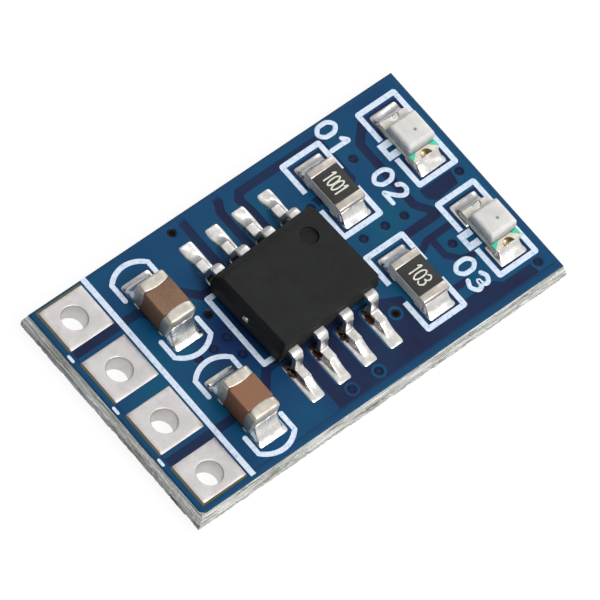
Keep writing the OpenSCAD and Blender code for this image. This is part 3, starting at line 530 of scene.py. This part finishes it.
def stroke(path, width, base, height):
    """A flat painted line with round ends, its section a low dome on a flat foot. A path that ends
    where it starts makes a ring."""
    side = np.array([1, 0.9, 0.5, 0, -0.5, -0.9, -1, -0.6, 0, 0.6])
    up = np.array([0.0, 0.8, 1, 1, 1, 0.8, 0, 0, 0, 0])
    if np.allclose(path[0], path[-1]):
        path = path[:-1]
        plan = path[:, None] + heading(path, True)[1][:, None] * (width / 2 * side)[:, None]
        return ring(np.dstack([plan, np.tile(base + height * up, (len(path), 1))]))
    ahead, across = heading(path)
    turn = np.linspace(0.08, np.pi / 2, 6)
    reach = np.concatenate([-np.cos(turn), np.zeros(len(path) - 2), np.cos(turn[::-1])]) * width / 2
    half = np.concatenate([np.sin(turn), np.ones(len(path) - 2), np.sin(turn[::-1])]) * width / 2
    index = np.concatenate([[0] * 6, np.arange(1, len(path) - 1), [len(path) - 1] * 6])
    centre = path[index] + ahead[index] * reach[:, None]
    plan = centre[:, None] + across[index][:, None] * (half[:, None] * side)[..., None]
    return shell(np.dstack([plan, np.tile(base + height * up, (len(half), 1))]))


def number(text, x_foot, y_first, scale, width, base, height, pitch):
    """Digits whose tops point along +X, read towards -Y, from a foot line at x_foot. Their cell is
    scaled by scale, one number or one for each way."""
    shells = []
    for k, digit in enumerate(text):
        path = smooth_path(DIGITS[digit]) * scale
        path = np.stack([x_foot + path[:, 1], y_first - k * pitch - path[:, 0]], -1)
        shells.append(stroke(path, width, base, height))
    return shells


label_tall, label_w, label_pitch = 0.82, 0.2, 0.78
ink_foot, ink_t = top_z - 0.008, 0.022
labels = [digit for text, x, y in (("01", 4.8, 4.72), ("02", 5.26, 2.0), ("03", 5.34, -2.56))
          for digit in number(text, x, y, label_tall, label_w, ink_foot, ink_t, label_pitch)]
piece("printed_numbers", labels, ink)

# THE WIRE TERMINALS
# Four plated holes at a 2.54 mm pitch: a square tinned land on each face and a tinned barrel
# between them. The outer lands are cut short where the foil stops.

# Tin plating: satin and slightly grained
tin, tree, shader = speckled("satin_tin_plating", 0.5, "#c3bfbd", "#d3cfce", 5, Metallic=1.0,
                             Roughness=0.42)


def worn(tree, shader, size, detail, low, high):
    """Roughness that drifts from low to high in lumps of size mm."""
    change = add(tree, "MapRange", {"Value": grain(tree, size, detail), "To Min": low, "To Max": high})
    tree.links.new(change.outputs[0], shader.inputs["Roughness"])


worn(tree, shader, 0.05, 3, 0.36, 0.55)
bump(tree, shader, 0.003, 0.04, 3)


def round_over(r, n):
    """A quarter-round edge of radius r in n points from the wall to the top: how far each lies in
    from the wall, and how far below the top."""
    roll = np.linspace(0, np.pi / 2, n)
    return r * (1 - np.cos(roll)), r * (1 - np.sin(roll))


def plated_hole(node, hole, rays=96):
    """A closed tube round the hole: land, rolled rim, barrel, land below and back outside the
    barrel. Rays run from the hole's axis to the land's rectangle; rings are set by their share of
    the way from the hole to the land's edge."""
    lo, hi = extent(node)
    turn = np.linspace(0, 2 * np.pi, rays, endpoint=False) + np.pi / 4
    c, s = np.cos(turn), np.sin(turn)
    reach_x = np.where(c > 0, hi[0] - hole[0], hole[0] - lo[0]) / np.maximum(np.abs(c), 1e-6)
    reach_y = np.where(s > 0, hi[1] - hole[1], hole[1] - lo[1]) / np.maximum(np.abs(s), 1e-6)
    reach = np.minimum(reach_x, reach_y)
    up, sag, lip = top_z + 0.003, 0.002, 0.035
    inward, below = round_over(lip, 6)
    rows = [(1, 0.0, up - 0.03), (1, -0.006, up - 0.006), (1, -0.02, up), (0.7, 0, up - sag / 2),
            (0.35, 0, up - sag)]
    rows += [(0, b, up - sag - a) for a, b in zip(inward, below)]
    rows += [(0, a, b) for a, b in zip(inward, below)]
    rows += [(0.5, 0, 0), (1, -0.02, 0), (1, 0, 0.018), (0, barrel_wall, 0.02),
             (0, barrel_wall, up - lip)]
    share, offset, z = np.array(rows).T[..., None]
    radius = hole_r + share * (reach - hole_r) + offset
    x, y = hole[0] + radius * c, hole[1] + radius * s
    return ring(np.stack([x, y, z + 0 * x], -1))


for i, hole in enumerate(holes, 1):
    piece(f"plated_hole_{i}", [plated_hole(f"barrel_{i}", hole)], tin, [f"barrel_{i}"])

# THE CHARGER CHIP
# Black epoxy moulded round a lead frame: drafted walls that meet at the frame, a bevel along the
# first-pin side and a shallow round mark. It sits 2.2 degrees askew on its lands.

# Sizes of the moulding, the level of its lead frame, and how it sits on the board
chip_lo, chip_hi = extent("chip_body")
solder_z = extent("capacitor_1_end_a")[0][2]
body_l, body_w, body_h, standoff = 4.9, 3.9, 1.45, 0.12
frame_z = standoff + body_h / 2
chip_turn = np.radians(2.2)
chip_at = np.append((chip_lo + chip_hi)[:2] / 2, solder_z)
draft = np.tan(np.radians(8))


def on_board(points):
    """Points in the chip's own frame, turned by chip_turn and moved to its place."""
    c, s = np.cos(chip_turn), np.sin(chip_turn)
    return points @ np.array([[c, s, 0], [-s, c, 0], [0, 0, 1]]) + chip_at


def chip_block():
    """Rings up the body: each wall leans in by draft from the frame's level, the edges are rounded,
    a thin flash line stands out at the frame, and the bevel pulls in the first-pin wall."""
    low, high, bevel, edge, flash = standoff, standoff + body_h, 0.34, 0.035, 0.008
    inward, below = round_over(edge, 4)
    z = np.concatenate([low + below[::-1],
                        [frame_z - 0.014, frame_z - 0.004, frame_z + 0.004, frame_z + 0.014],
                        [high - bevel - 0.02, high - bevel + 0.02],
                        high - below])
    lean = np.abs(z - frame_z) * draft
    lean[:4] += inward[::-1]
    lean[-4:] += inward
    lean[5:7] -= flash
    cut = np.maximum(0, z - (high - bevel)) * (1 - draft)
    x, y = body_l / 2 - lean, body_w / 2 - lean
    rows = rounded_ring(-x, x, -y, y - cut, z, 0.05, 4)
    inner = [0.985, 0.985, 1]
    return np.concatenate([rows[:1] * inner, rows, rows[-1:] * inner])


# Moulded epoxy: charcoal, matte and finely pitted, with painted shade darkening the mark's hollow
moulding, tree, shader = surface("moulded_black_epoxy", Roughness=0.6, IOR=1.5, Specular_IOR_Level=0.25)
mark_r, mark_in, mark_d = 0.37, 1.06, 0.12
mark_at = np.array([body_l / 2 - mark_in, body_w / 2 - mark_in])
mark_x, mark_y, _ = on_board(np.array([*mark_at, 0]))
char = ramp(tree, grain(tree, 0.7, 6), (0.3, "#101110"), (0.7, "#181a19"))
# Painted shade: the round mark's hollow is darkened
paint(tree, shader, blend(tree, spot(tree, mark_x, mark_y, mark_r - 0.08, mark_r), char, "#0b0c0b"))
worn(tree, shader, 0.15, 4, 0.55, 0.75)
bump(tree, shader, 0.008, 0.035, 4, 0.7)

block = piece("chip_moulding", [shell(on_board(chip_block()))], moulding, ["chip_body"])
roll = np.linspace(0.15, np.pi / 2, 6)
mark_rows = rounded_ring(*(mark_at[k // 2] + s * mark_r * np.append(0.8 + 0.2 * np.sin(roll), 1.0)
                           for k, s in enumerate((-1, 1, -1, 1))),
                         standoff + body_h + np.append(mark_d * -np.cos(roll), 0.3), mark_r, 10)
cut_out(block, piece("mark_cutter", [shell(on_board(mark_rows))], moulding))
# The level top is shaded flat, the rounded edges smooth
top_normals = np.empty(len(block.data.polygons) * 3)
block.data.polygons.foreach_get("normal", top_normals)
block.data.polygons.foreach_set("use_smooth", top_normals[2::3] < 0.9999)
# Cut frame metal: the paddle, and the tie bars' bright ends in both short walls
frame_metal = speckled("bare_lead_frame", 0.2, "#c2bfb8", "#dad8d2", nodes=("chip_paddle",),
                       Metallic=1.0, Roughness=0.4)[0]
bar_reach, bar_half_w, bar_levels = 0.04, 0.125, frame_z + np.array([-0.1, 0.1])
bars = [shell(on_board(rounded_ring(x - bar_reach, x + bar_reach, -bar_half_w, bar_half_w, bar_levels,
                                    0.02, 4))) for x in (-body_l / 2, body_l / 2)]
piece("tie_bar_ends", bars, frame_metal)
speckled("polished_silicon", 0.1, "#4b4f5c", "#5a5f6d", at=(0.4, 0.6), nodes=("chip_die",),
         Metallic=0.6, Roughness=0.2)
speckled("drawn_gold_wire", 0.1, "#e0b45a", "#efc777", at=(0.4, 0.6),
         nodes=("chip_bond_wires", "led_1_wire", "led_2_wire"), Metallic=1.0, Roughness=0.25)

# THE CHIP'S LEADS
# Eight gull-wing leads stamped from 0.2 mm tinned sheet, wider where the dam bar was cut off,
# bent down over a small radius and out again into a flat foot.

lead_t, lead_pitch, bend_r, web_angle = 0.2, 1.27, 0.2, np.radians(80)


def strap(path, widths, thick, corner=0.03):
    """A strip of sheet swept along a path of (y, z), its width across X set point by point."""
    half = np.asarray(widths) / 2
    section = rounded_ring(-half, half, -thick / 2, thick / 2, 0, corner, 4)
    plan = path[:, None] + section[..., 1:2] * heading(path)[1][:, None]
    return np.dstack([section[..., 0], plan])


def gull_path():
    """The lead's centre line: out of the body, round the first bend, down the web, round the
    second bend and along the foot to the toe."""
    lead_in, straight, toe_y = 0.25, 0.13, 2.985
    a = np.linspace(0, web_angle, 9)[:, None]
    out_y = body_w / 2 + straight
    first = np.hstack([out_y + bend_r * np.sin(a), frame_z - bend_r * (1 - np.cos(a))])
    drop = frame_z - lead_t / 2 - 2 * bend_r * (1 - np.cos(web_angle))
    foot_y = out_y + 2 * bend_r * np.sin(web_angle) + drop / np.tan(web_angle)
    second = np.hstack([foot_y - bend_r * np.sin(a[::-1]), lead_t / 2 + bend_r * (1 - np.cos(a[::-1]))])
    web = first[-1] + (second[0] - first[-1]) * np.linspace(0.12, 0.88, 6)[:, None]
    start = [[body_w / 2 - lead_in, frame_z], [body_w / 2, frame_z], [out_y - 0.02, frame_z]]
    foot = np.stack([np.linspace(foot_y + 0.06, toe_y, 6), np.full(6, lead_t / 2)], -1)
    return np.concatenate([start, first, web, second, foot])


def seat(k):
    """The side of the chip that lead k is on, and its place along it in pitches. Leads are counted
    round the chip from the bevelled side."""
    return (1, 1.5 - k) if k < 4 else (-1, k - 5.5)


def lead(k):
    """Lead k: lead_w wide, and shoulder_more wider for the first shoulder_l of its path."""
    lead_w, shoulder_more, shoulder_l = 0.4, 0.08, 0.5
    path = gull_path()
    run = np.concatenate([[0], np.cumsum(np.hypot(*np.diff(path, axis=0).T))])
    width = lead_w + shoulder_more * (1 - smooth((run - shoulder_l) / 0.05))
    width[-1] -= 0.03
    side, x = seat(k)
    return shell(on_board(strap(path, width, lead_t) * [1, side, 1] + [x * lead_pitch, 0, 0]))


# Reflowed tin on the leads: soft grey, faintly dimpled, duller than the solder below
lead_tin, tree, shader = speckled("tinned_lead_sheet", 0.3, "#c9c7c3", "#e3e1dd", 5, Metallic=1.0,
                                  Roughness=0.4)
worn(tree, shader, 0.12, 3, 0.28, 0.5)
bump(tree, shader, 0.008, 0.1, 3)
for k in range(8):
    piece(f"gull_wing_{k + 1}", [lead(k)], lead_tin, [f"chip_lead_{k + 1}"])

# SOLDER
# Bright joints that wetted each land to its edge and drew up into hollow fillets against the
# feet and the end caps as they froze.

land_z = top_z - 0.012


def superellipse(power, rays):
    """A unit square with its corners rounded: |x|^power + |y|^power = 1, as rows x and y."""
    turn = np.linspace(0, 2 * np.pi, rays, endpoint=False)
    plan = np.stack([np.cos(turn), np.sin(turn)])
    return plan * (np.abs(plan) ** power).sum(0) ** (-1 / power)


def puddle(lo, hi, crown, lift, seed, rings=22, rays=72, corner=9.0):
    """Solder on a land from lo to hi: rings from the middle out to the land's edge, a superellipse,
    and back in underneath. Its height is a low crown, plus lift(x, y) faded out near the edge,
    plus a little unevenness."""
    middle, half = (lo + hi) / 2, (hi - lo) / 2
    plan = superellipse(corner, rays)
    share = np.sin(np.linspace(0.03, 1, rings) * np.pi / 2)[:, None]
    x, y = (middle[k] + half[k] * plan[k] * share for k in (0, 1))
    inside = 1 - share + 0 * x
    swell = (1 - (1 - inside) ** 5) ** 0.6
    z = land_z + swell * (crown + 0.012 * waves(x, y, 0.8, seed)) + lift(x, y) * smooth(inside / 0.16)
    top = np.stack([x, y, z], -1)
    under = np.stack([x, y, np.full(x.shape, land_z)], -1)[-2::-3]
    return shell(np.concatenate([top, under]))


def foot_lift(side, x_lead, length, rise):
    """How high solder stands round a foot: rise at the metal, falling off as (1 - d / length)^2,
    where d is the distance past the toe, behind the heel or, scaled up, beside the foot."""
    half_w, beside_l, toe, heel = 0.19, 0.14, 2.98, 2.36

    def lift(x, y):
        c, s = np.cos(chip_turn), np.sin(chip_turn)
        px, py = x - chip_at[0], y - chip_at[1]
        u, v = c * px + s * py, side * (c * py - s * px)
        beside = np.maximum(np.abs(u - x_lead) - half_w, 0)
        past_toe, behind = np.maximum(v - toe, 0), np.maximum(heel - v, 0)
        d = np.hypot(beside / beside_l * length, np.maximum(past_toe, behind * 2))
        return rise * np.clip(1 - d / length, 0, 1) ** 2
    return lift


# Frozen solder: very bright, with soft dimples and a faint frost of crystals, and brown flux left
# in the hollows by the chip's near feet
solder, tree, shader = surface("reflowed_solder", Metallic=1.0, Roughness=0.2)
clear = ramp(tree, grain(tree, 0.25, 4), (0.3, "#d6d3ce"), (0.7, "#f2f0ec"))
flux = add(tree, "Math", {0: field(tree, "flux", 0, 1), 1: grain(tree, 0.15, 4)},
           operation="MULTIPLY")
flux = ramp(tree, flux.outputs[0], (0.28, OFF), (0.42, ON))
paint(tree, shader, blend(tree, flux, clear, "#4a2f25"))
worn(tree, shader, 0.3, 2, 0.16, 0.32)
bump(tree, shader, 0.008, 0.5, 1, 0.4)

# Size of a chip land, and how far its inner end is from the middle; where flux was left on a near
# land, and how far it spread
chip_land, chip_land_in = np.array([0.66, 1.9]), 1.95
chip_land_x = (extent("chip_solder")[0][0] + extent("chip_solder")[1][0]) / 2
flux_at, flux_reach = np.array([-0.2, 0.45]), np.array([0.2, 0.42])
# Reach and height of the solder round a foot, on the far side and on the near, which took more
foot_solder = {1: (0.45, 0.15), -1: (0.8, 0.2)}
joints, flux_left = [], []
for k in range(8):
    side, x = seat(k)
    middle = np.array([chip_land_x + x * lead_pitch, side * (chip_land_in + chip_land[1] / 2)])
    lift = foot_lift(side, x * lead_pitch, *foot_solder[side])
    joints.append(puddle(middle - chip_land / 2, middle + chip_land / 2, 0.05, lift, 20 + k))
    away = (joints[-1][0][:, :2] - middle - flux_at) / flux_reach
    flux_left.append(smooth(1.2 - np.hypot(*away.T)) * (side < 0))
piece("chip_joints", joints, solder, ["chip_solder"], {"flux": np.concatenate(flux_left)})


def end_joints(part, wide, land_l, rise, drawn_in=0.0):
    """The two joints of a two-terminal part, on lands land_l long. Solder stands rise high at the
    end face, as wide as the part's node wide, and falls off as (1 - d / length)^2.3 with distance d
    from it. At the far end it keeps its height for drawn_in mm under the part."""
    lands = f"{part}_solder"
    lo, hi = extent(lands)
    left, right = (corner[0] for corner in extent(f"{part}_{wide}"))
    centre, half_w = (left + right) / 2, (right - left) / 2
    walls = extent(f"{part}_end_b")[0][1], extent(f"{part}_end_a")[1][1]
    shells = []
    for side, wall, edge in zip((-1, 1), walls, (lo[1], hi[1])):
        span = sorted((edge, edge - side * land_l))
        length = abs(edge - wall)

        def lift(x, y):
            out = side * (y - wall)
            beside = np.maximum(np.abs(x - centre) - half_w + 0.1, 0) / 0.16
            under = 1 - smooth((-out - drawn_in * (side > 0)) / 0.25)
            fall = np.where(out > 0, np.clip(1 - out / length, 0, 1) ** 2.3, under)
            return rise * fall * (1 - smooth(beside))
        seed = int(abs(centre * 10 + side * 3)) + len(lands)
        shells.append(puddle(np.array([lo[0], span[0]]), np.array([hi[0], span[1]]), 0.045, lift, seed,
                             rings=26, corner=14.0))
    piece(f"{part}_joints", shells, solder, [lands])


# THE CAPACITORS
# Sintered brown ceramic with metal caps fired and plated over both ends, round at every edge.

# Brown barium-titanate ceramic: matte, speckled; the second one is a redder batch
ceramic, tree, shader = surface("sintered_brown_ceramic", Roughness=0.55, IOR=1.6)
redder = spot(tree, *(np.add(*extent("capacitor_2_body")) / 2)[:2], 0.9, 1.2)
clay = ramp(tree, grain(tree, 0.8, 3), (0.35, "#5f4028"), (0.65, "#715036"))
specks = ramp(tree, grain(tree, 0.05, 4, 0.7), (0.45, OFF), (0.75, ON))
paint(tree, shader, blend(tree, specks, blend(tree, redder, clay, "#7a4b2b"), "#855f40"))
bump(tree, shader, 0.004, 0.05, 4)
# Plated end metal: warm grey, softly worn
end_metal, tree, shader = speckled("plated_capacitor_end", 0.35, "#b9b2a4", "#d9d3c7", 4, Metallic=0.85,
                                   Roughness=0.42)
bump(tree, shader, 0.006, 0.14, 2)


def capped_end(lo, hi, side, corner, bow=0.09):
    """An end cap, stacked along Y: a thin inner lip that bows back by bow at the long edges, then
    straight, then round to the end face."""
    inward, below = round_over(corner, 6)
    inner, outer = (lo[1], hi[1]) if side > 0 else (hi[1], lo[1])
    y = np.concatenate([[inner, inner, inner + side * 0.015, inner + side * 0.05],
                        outer - side * below, [outer]])[:, None]
    inset = np.concatenate([[0.08, 0.03, 0.008, 0], inward, [corner + 0.02]])[:, None]
    plan = superellipse(11, 64)
    x, z = ((lo[k] + hi[k]) / 2 + ((hi[k] - lo[k]) / 2 - inset) * plan[j] for k, j in ((0, 0), (2, 1)))
    still = np.array([1, 1, 1, 1] + [0] * (len(inward) + 1))[:, None]
    y = y + side * bow * still * (plan ** 2).min(0)
    return shell(np.stack([x, y, z], -1))


def plain_block(lo, hi, corner, edge, dome=0.0):
    """A block with round upright corners and round top and bottom edges, and a low domed top."""
    inward, below = round_over(edge, 5)
    z = np.concatenate([lo[2] + below[::-1], hi[2] - dome - below])
    inset = np.concatenate([inward[::-1], inward])
    rows = rounded_ring(lo[0] + inset, hi[0] - inset, lo[1] + inset, hi[1] - inset, z, corner, 5)
    core = rows.mean(1, keepdims=True)
    shrink = [0.96, 0.8, 0.6, 0.4, 0.2, 0.05]
    lid = [core[-1:] + (rows[-1:] - core[-1:]) * [k, k, 1] + [0, 0, dome * (1 - k * k)] for k in shrink]
    return shell(np.concatenate([core[:1] + (rows[:1] - core[:1]) * 0.96, rows, *lid]))


cap_skin, cap_tuck, cap_corner = 0.014, 0.05, 0.12
for n in (1, 2):
    part = f"capacitor_{n}"
    lo, hi = extent(f"{part}_body")
    near, far = extent(f"{part}_end_b"), extent(f"{part}_end_a")
    low = np.array([lo[0] + cap_skin, near[1][1] - cap_tuck, lo[2] + cap_skin])
    high = np.array([hi[0] - cap_skin, far[0][1] + cap_tuck, hi[2] - cap_skin])
    piece(f"{part}_ceramic", [plain_block(low, high, 0.05, 0.05)], ceramic,
          [f"{part}_body"])
    piece(f"{part}_caps", [capped_end(*far, 1, cap_corner), capped_end(*near, -1, cap_corner)],
          end_metal, [f"{part}_end_a", f"{part}_end_b"])
    end_joints(part, "body", land_l=1.15, rise=0.7)

# THE RESISTORS
# White alumina slips with a printed film on top under a black glaze that carries a number, and
# thin plated metal wrapped over both ends.

# Fired alumina: chalky white. The film is a dull dark paste, printed and fired.
speckled("fired_alumina", 0.1, "#c9c7c0", "#dedcd6", 4,
         nodes=("resistor_1_ceramic", "resistor_2_ceramic"), Roughness=0.6, IOR=1.6)
speckled("ruthenium_film", 0.1, "#2c2c2e", "#3a3a3c", nodes=("resistor_1_film", "resistor_2_film"),
         Roughness=0.6)
# Black glass glaze: warm black with a soft, slightly wavy gloss, under a cream printed number
glaze, tree, shader = speckled("black_overglaze", 0.2, "#14140f", "#1f1e1a", 4, Roughness=0.4, IOR=1.5)
bump(tree, shader, 0.008, 0.12, 3)
code_ink = speckled("cream_code_ink", 0.05, "#b9b7ad", "#dedcd2", at=(0.3, 0.6), Roughness=0.6)[0]
# Plated end metal: pinkish grey, smoother than the capacitors' caps
wrap_metal, tree, shader = speckled("plated_resistor_end", 0.3, "#b3aaa0", "#cfc8c0", 4, Metallic=0.9,
                                    Roughness=0.36)
bump(tree, shader, 0.006, 0.14, 2)


def wrapped_end(lo, hi, side, thick, bend=0.06):
    """A strap of end metal from the top, round the end face and back under."""
    inner, outer = (lo[1], hi[1]) if side > 0 else (hi[1], lo[1])
    turn = np.linspace(np.pi / 2, -np.pi / 2, 12)
    low, high, end = lo[2] + thick / 2, hi[2] - thick / 2, outer - side * thick / 2
    y = np.concatenate([[inner, inner + side * 0.05], end + side * bend * (np.cos(turn) - 1), [inner]])
    z = np.where(turn > 0, high, low) + bend * (np.sin(turn) - np.sign(turn))
    z = np.concatenate([[high - 0.006, high], z, [low]])
    strip = strap(np.stack([y, z], -1), np.full(len(y), hi[0] - lo[0]), thick, 0.014)
    return shell(strip + [(lo[0] + hi[0]) / 2, 0, 0])


wrap_t, glaze_proud, glaze_lap = 0.035, 0.035, 0.02
code_tall, code_w, code_line, tight_pitch = 0.62, 0.3, 0.068, 0.225
code_sunk, code_t = 0.022, 0.026
for n, code in ((1, "1001"), (2, "103")):
    part = f"resistor_{n}"
    lo, hi = extent(f"{part}_glaze")
    near, far = extent(f"{part}_end_b"), extent(f"{part}_end_a")
    hi[2] = far[1][2] + glaze_proud
    lo[1], hi[1] = lo[1] - glaze_lap, hi[1] + glaze_lap
    piece(f"{part}_overglaze", [plain_block(lo, hi, 0.06, 0.025, 0.03)], glaze,
          [f"{part}_glaze"])
    # Four digits stand tight; fewer are spread and drawn wider
    pitch, middle = tight_pitch + 0.04 * (4 - len(code)), (lo + hi) / 2
    start = middle[1] + (pitch * (len(code) - 1) + 0.2) / 2
    digits = number(code, middle[0] - code_tall / 2, start, [code_w * (pitch / tight_pitch), code_tall],
                    code_line, hi[2] - code_sunk, code_t, pitch)
    piece(f"{part}_code", digits, code_ink)
    piece(f"{part}_wraps", [wrapped_end(*far, 1, wrap_t), wrapped_end(*near, -1, wrap_t)], wrap_metal,
          [f"{part}_end_a", f"{part}_end_b"])
    end_joints(part, "end_a", land_l=1.05, rise=0.34)

# THE LEDS
# A small laminate base with plated ends, notched half-round, under a block of milky resin that
# holds the chip and its wire. Two green corners mark the cathode.

# White-filled laminate: cream, matte
speckled("white_led_laminate", 0.1, "#cfcabc", "#e2decf", nodes=("led_1_base", "led_2_base"),
         Roughness=0.5)
# End metal: plated walls and notches, their tops under a cream coat
led_metal, tree, shader = surface("plated_led_end", Roughness=0.4)
up = add(tree, "SeparateXYZ", {"Vector": add(tree, "NewGeometry").outputs["Normal"]})
plated = ramp(tree, up.outputs["Z"], (0.4, ON), (0.6, OFF))
cream = ramp(tree, grain(tree, 0.2, 4), (0.3, "#c9c2b5"), (0.7, "#d9d4c9"))
paint(tree, shader, blend(tree, plated, cream, "#cfc0a4"))
tree.links.new(plated, shader.inputs["Metallic"])
bump(tree, shader, 0.006, 0.08, 3)
dress(led_metal, "led_1_end_a", "led_1_end_b", "led_2_end_a", "led_2_end_b")
# The die is a dark grey crystal; the green corners are printed ink
speckled("led_semiconductor", 0.05, "#55564c", "#6b6b5e", at=(0.4, 0.6),
         nodes=("led_1_die", "led_2_die"), Roughness=0.3)
speckled("green_polarity_ink", 0.08, "#2fb48f", "#45d1a8", nodes=("led_1_mark", "led_2_mark"),
         Roughness=0.45)
# Cast resin: milky, lets light a little way in, slightly wavy; the die shows through as a dot
resin_milk, tree, shader = surface("milky_cast_resin", Roughness=0.4, IOR=1.5, Subsurface_Weight=0.9,
                                   Subsurface_Scale=0.0005)
shader.inputs["Subsurface Radius"].default_value = (1.0, 0.98, 0.95)
milk = ramp(tree, grain(tree, 0.5, 4), (0.3, "#c5c3bf"), (0.7, "#d4d3cf"))
for n in (1, 2):
    dot_x, dot_y = (np.add(*extent(f"led_{n}_lens")) / 2)[:2] + [0.06, -0.08]
    milk = blend(tree, spot(tree, dot_x, dot_y, 0.03, 0.09), milk, "#77736e")
paint(tree, shader, milk)
bump(tree, shader, 0.015, 0.3, 3)


def lens(lo, hi):
    """The moulded block: ends leaning in by 10 degrees, all its upper edges well rounded."""
    lean, edge, corner = (hi[2] - lo[2]) * np.tan(np.radians(10)), 0.13, 0.07
    inward, below = round_over(edge, 7)
    z = np.concatenate([[lo[2]], hi[2] - below])
    inset = np.concatenate([[0], inward])
    slope = lean * (z - lo[2]) / (hi[2] - lo[2])
    rows = rounded_ring(lo[0] + inset, hi[0] - inset, lo[1] + inset + slope, hi[1] - inset - slope, z,
                        corner)
    core = rows[-1:].mean(1, keepdims=True)
    lid = [core + (rows[-1:] - core) * [k, k, 1] for k in (0.96, 0.5, 0.15)]
    return shell(np.concatenate([rows, *lid]))


for n in (1, 2):
    piece(f"led_{n}_resin", [lens(*extent(f"led_{n}_lens"))], resin_milk, [f"led_{n}_lens"])
    end_joints(f"led_{n}", "end_a", land_l=1.05, rise=0.24, drawn_in=0.3)

# THE STAGE
# The board lies on a white table under a wide soft light, seen steeply through a long lens.

table_half, table_z = 2.0, -0.00002
table_mesh = bpy.data.meshes.new("table")
table_mesh.from_pydata([(s * table_half, t * table_half, table_z)
                        for s, t in ((-1, -1), (1, -1), (1, 1), (-1, 1))], [], [(0, 1, 2, 3)])
placed("table", table_mesh)
# Seen straight, in metal or through glass, the table is a white glow over a faint sheet that keeps
# the board's shadow; all other light meets a pale matte top
white, tree, shader = surface("white_table", Base_Color="#c8c8c8", Roughness=0.9)
rays = add(tree, "LightPath").outputs
direct = rays["Is Camera Ray"]
for kind in ("Is Glossy Ray", "Is Transmission Ray"):
    direct = add(tree, "Math", {0: direct, 1: rays[kind]}, operation="MAXIMUM").outputs[0]
glow = add(tree, "Emission", {"Color": srgb(ON), "Strength": 0.92})
faint = add(tree, "BsdfDiffuse", {"Color": srgb("#505050")})
seen = add(tree, "MixShader", {"Fac": direct})
both = add(tree, "AddShader", {0: faint.outputs[0], 1: glow.outputs[0]})
tree.links.new(shader.outputs[0], seen.inputs[1])
tree.links.new(both.outputs[0], seen.inputs[2])
tree.links.new(seen.outputs[0], tree.nodes["Material Output"].inputs["Surface"])
table_mesh.materials.append(white)

world = bpy.data.worlds.new("studio")
world.use_nodes = True
bpy.context.scene.world = world
tree = world.node_tree
sky = tree.nodes["Background"]
# The room: brightest low on the near right, dim behind
toward = add(tree, "VectorMath", {0: add(tree, "TexCoord").outputs["Generated"],
                                  1: (0.75, -0.45, 0.48)}, operation="DOT_PRODUCT")
height = add(tree, "MapRange", {"Value": toward.outputs["Value"], "From Min": -1.0})
tree.links.new(ramp(tree, height.outputs[0], (0.15, "#34373d"), (0.45, "#9a9ea6"), (0.8, "#ffffff")),
               sky.inputs["Color"])
sky.inputs["Strength"].default_value = 0.8


def softbox(name, at, size, watts):
    """A square area light that faces the board."""
    light = bpy.data.lights.new(name, "AREA")
    light.size, light.energy = size, watts
    lamp = placed(name, light)
    lamp.location = at
    lamp.rotation_euler = (-lamp.location).to_track_quat("-Z", "Y").to_euler()


softbox("key_above", (0.02, -0.16, 0.30), 0.2, 0.85)
softbox("rim_far", (0.22, 0.16, 0.20), 0.1, 0.12)

# The camera's place and turn were solved from the photograph's own perspective
sight = np.array([[0.7435, -0.6407, 0.1916], [0.506, 0.7263, 0.4652], [-0.4372, -0.2489, 0.8642]])
camera = placed("camera", bpy.data.cameras.new("camera"))
bpy.context.scene.camera = camera
camera.data.lens, camera.data.sensor_width = 485.4, 36
camera.data.clip_start, camera.data.clip_end = 0.01, 5
camera.location = np.array([-128.46, -73.36, 254.47]) * MM
camera.rotation_euler = Matrix(sight.T.tolist()).to_euler()
bpy.context.scene.view_settings.view_transform = "Standard"
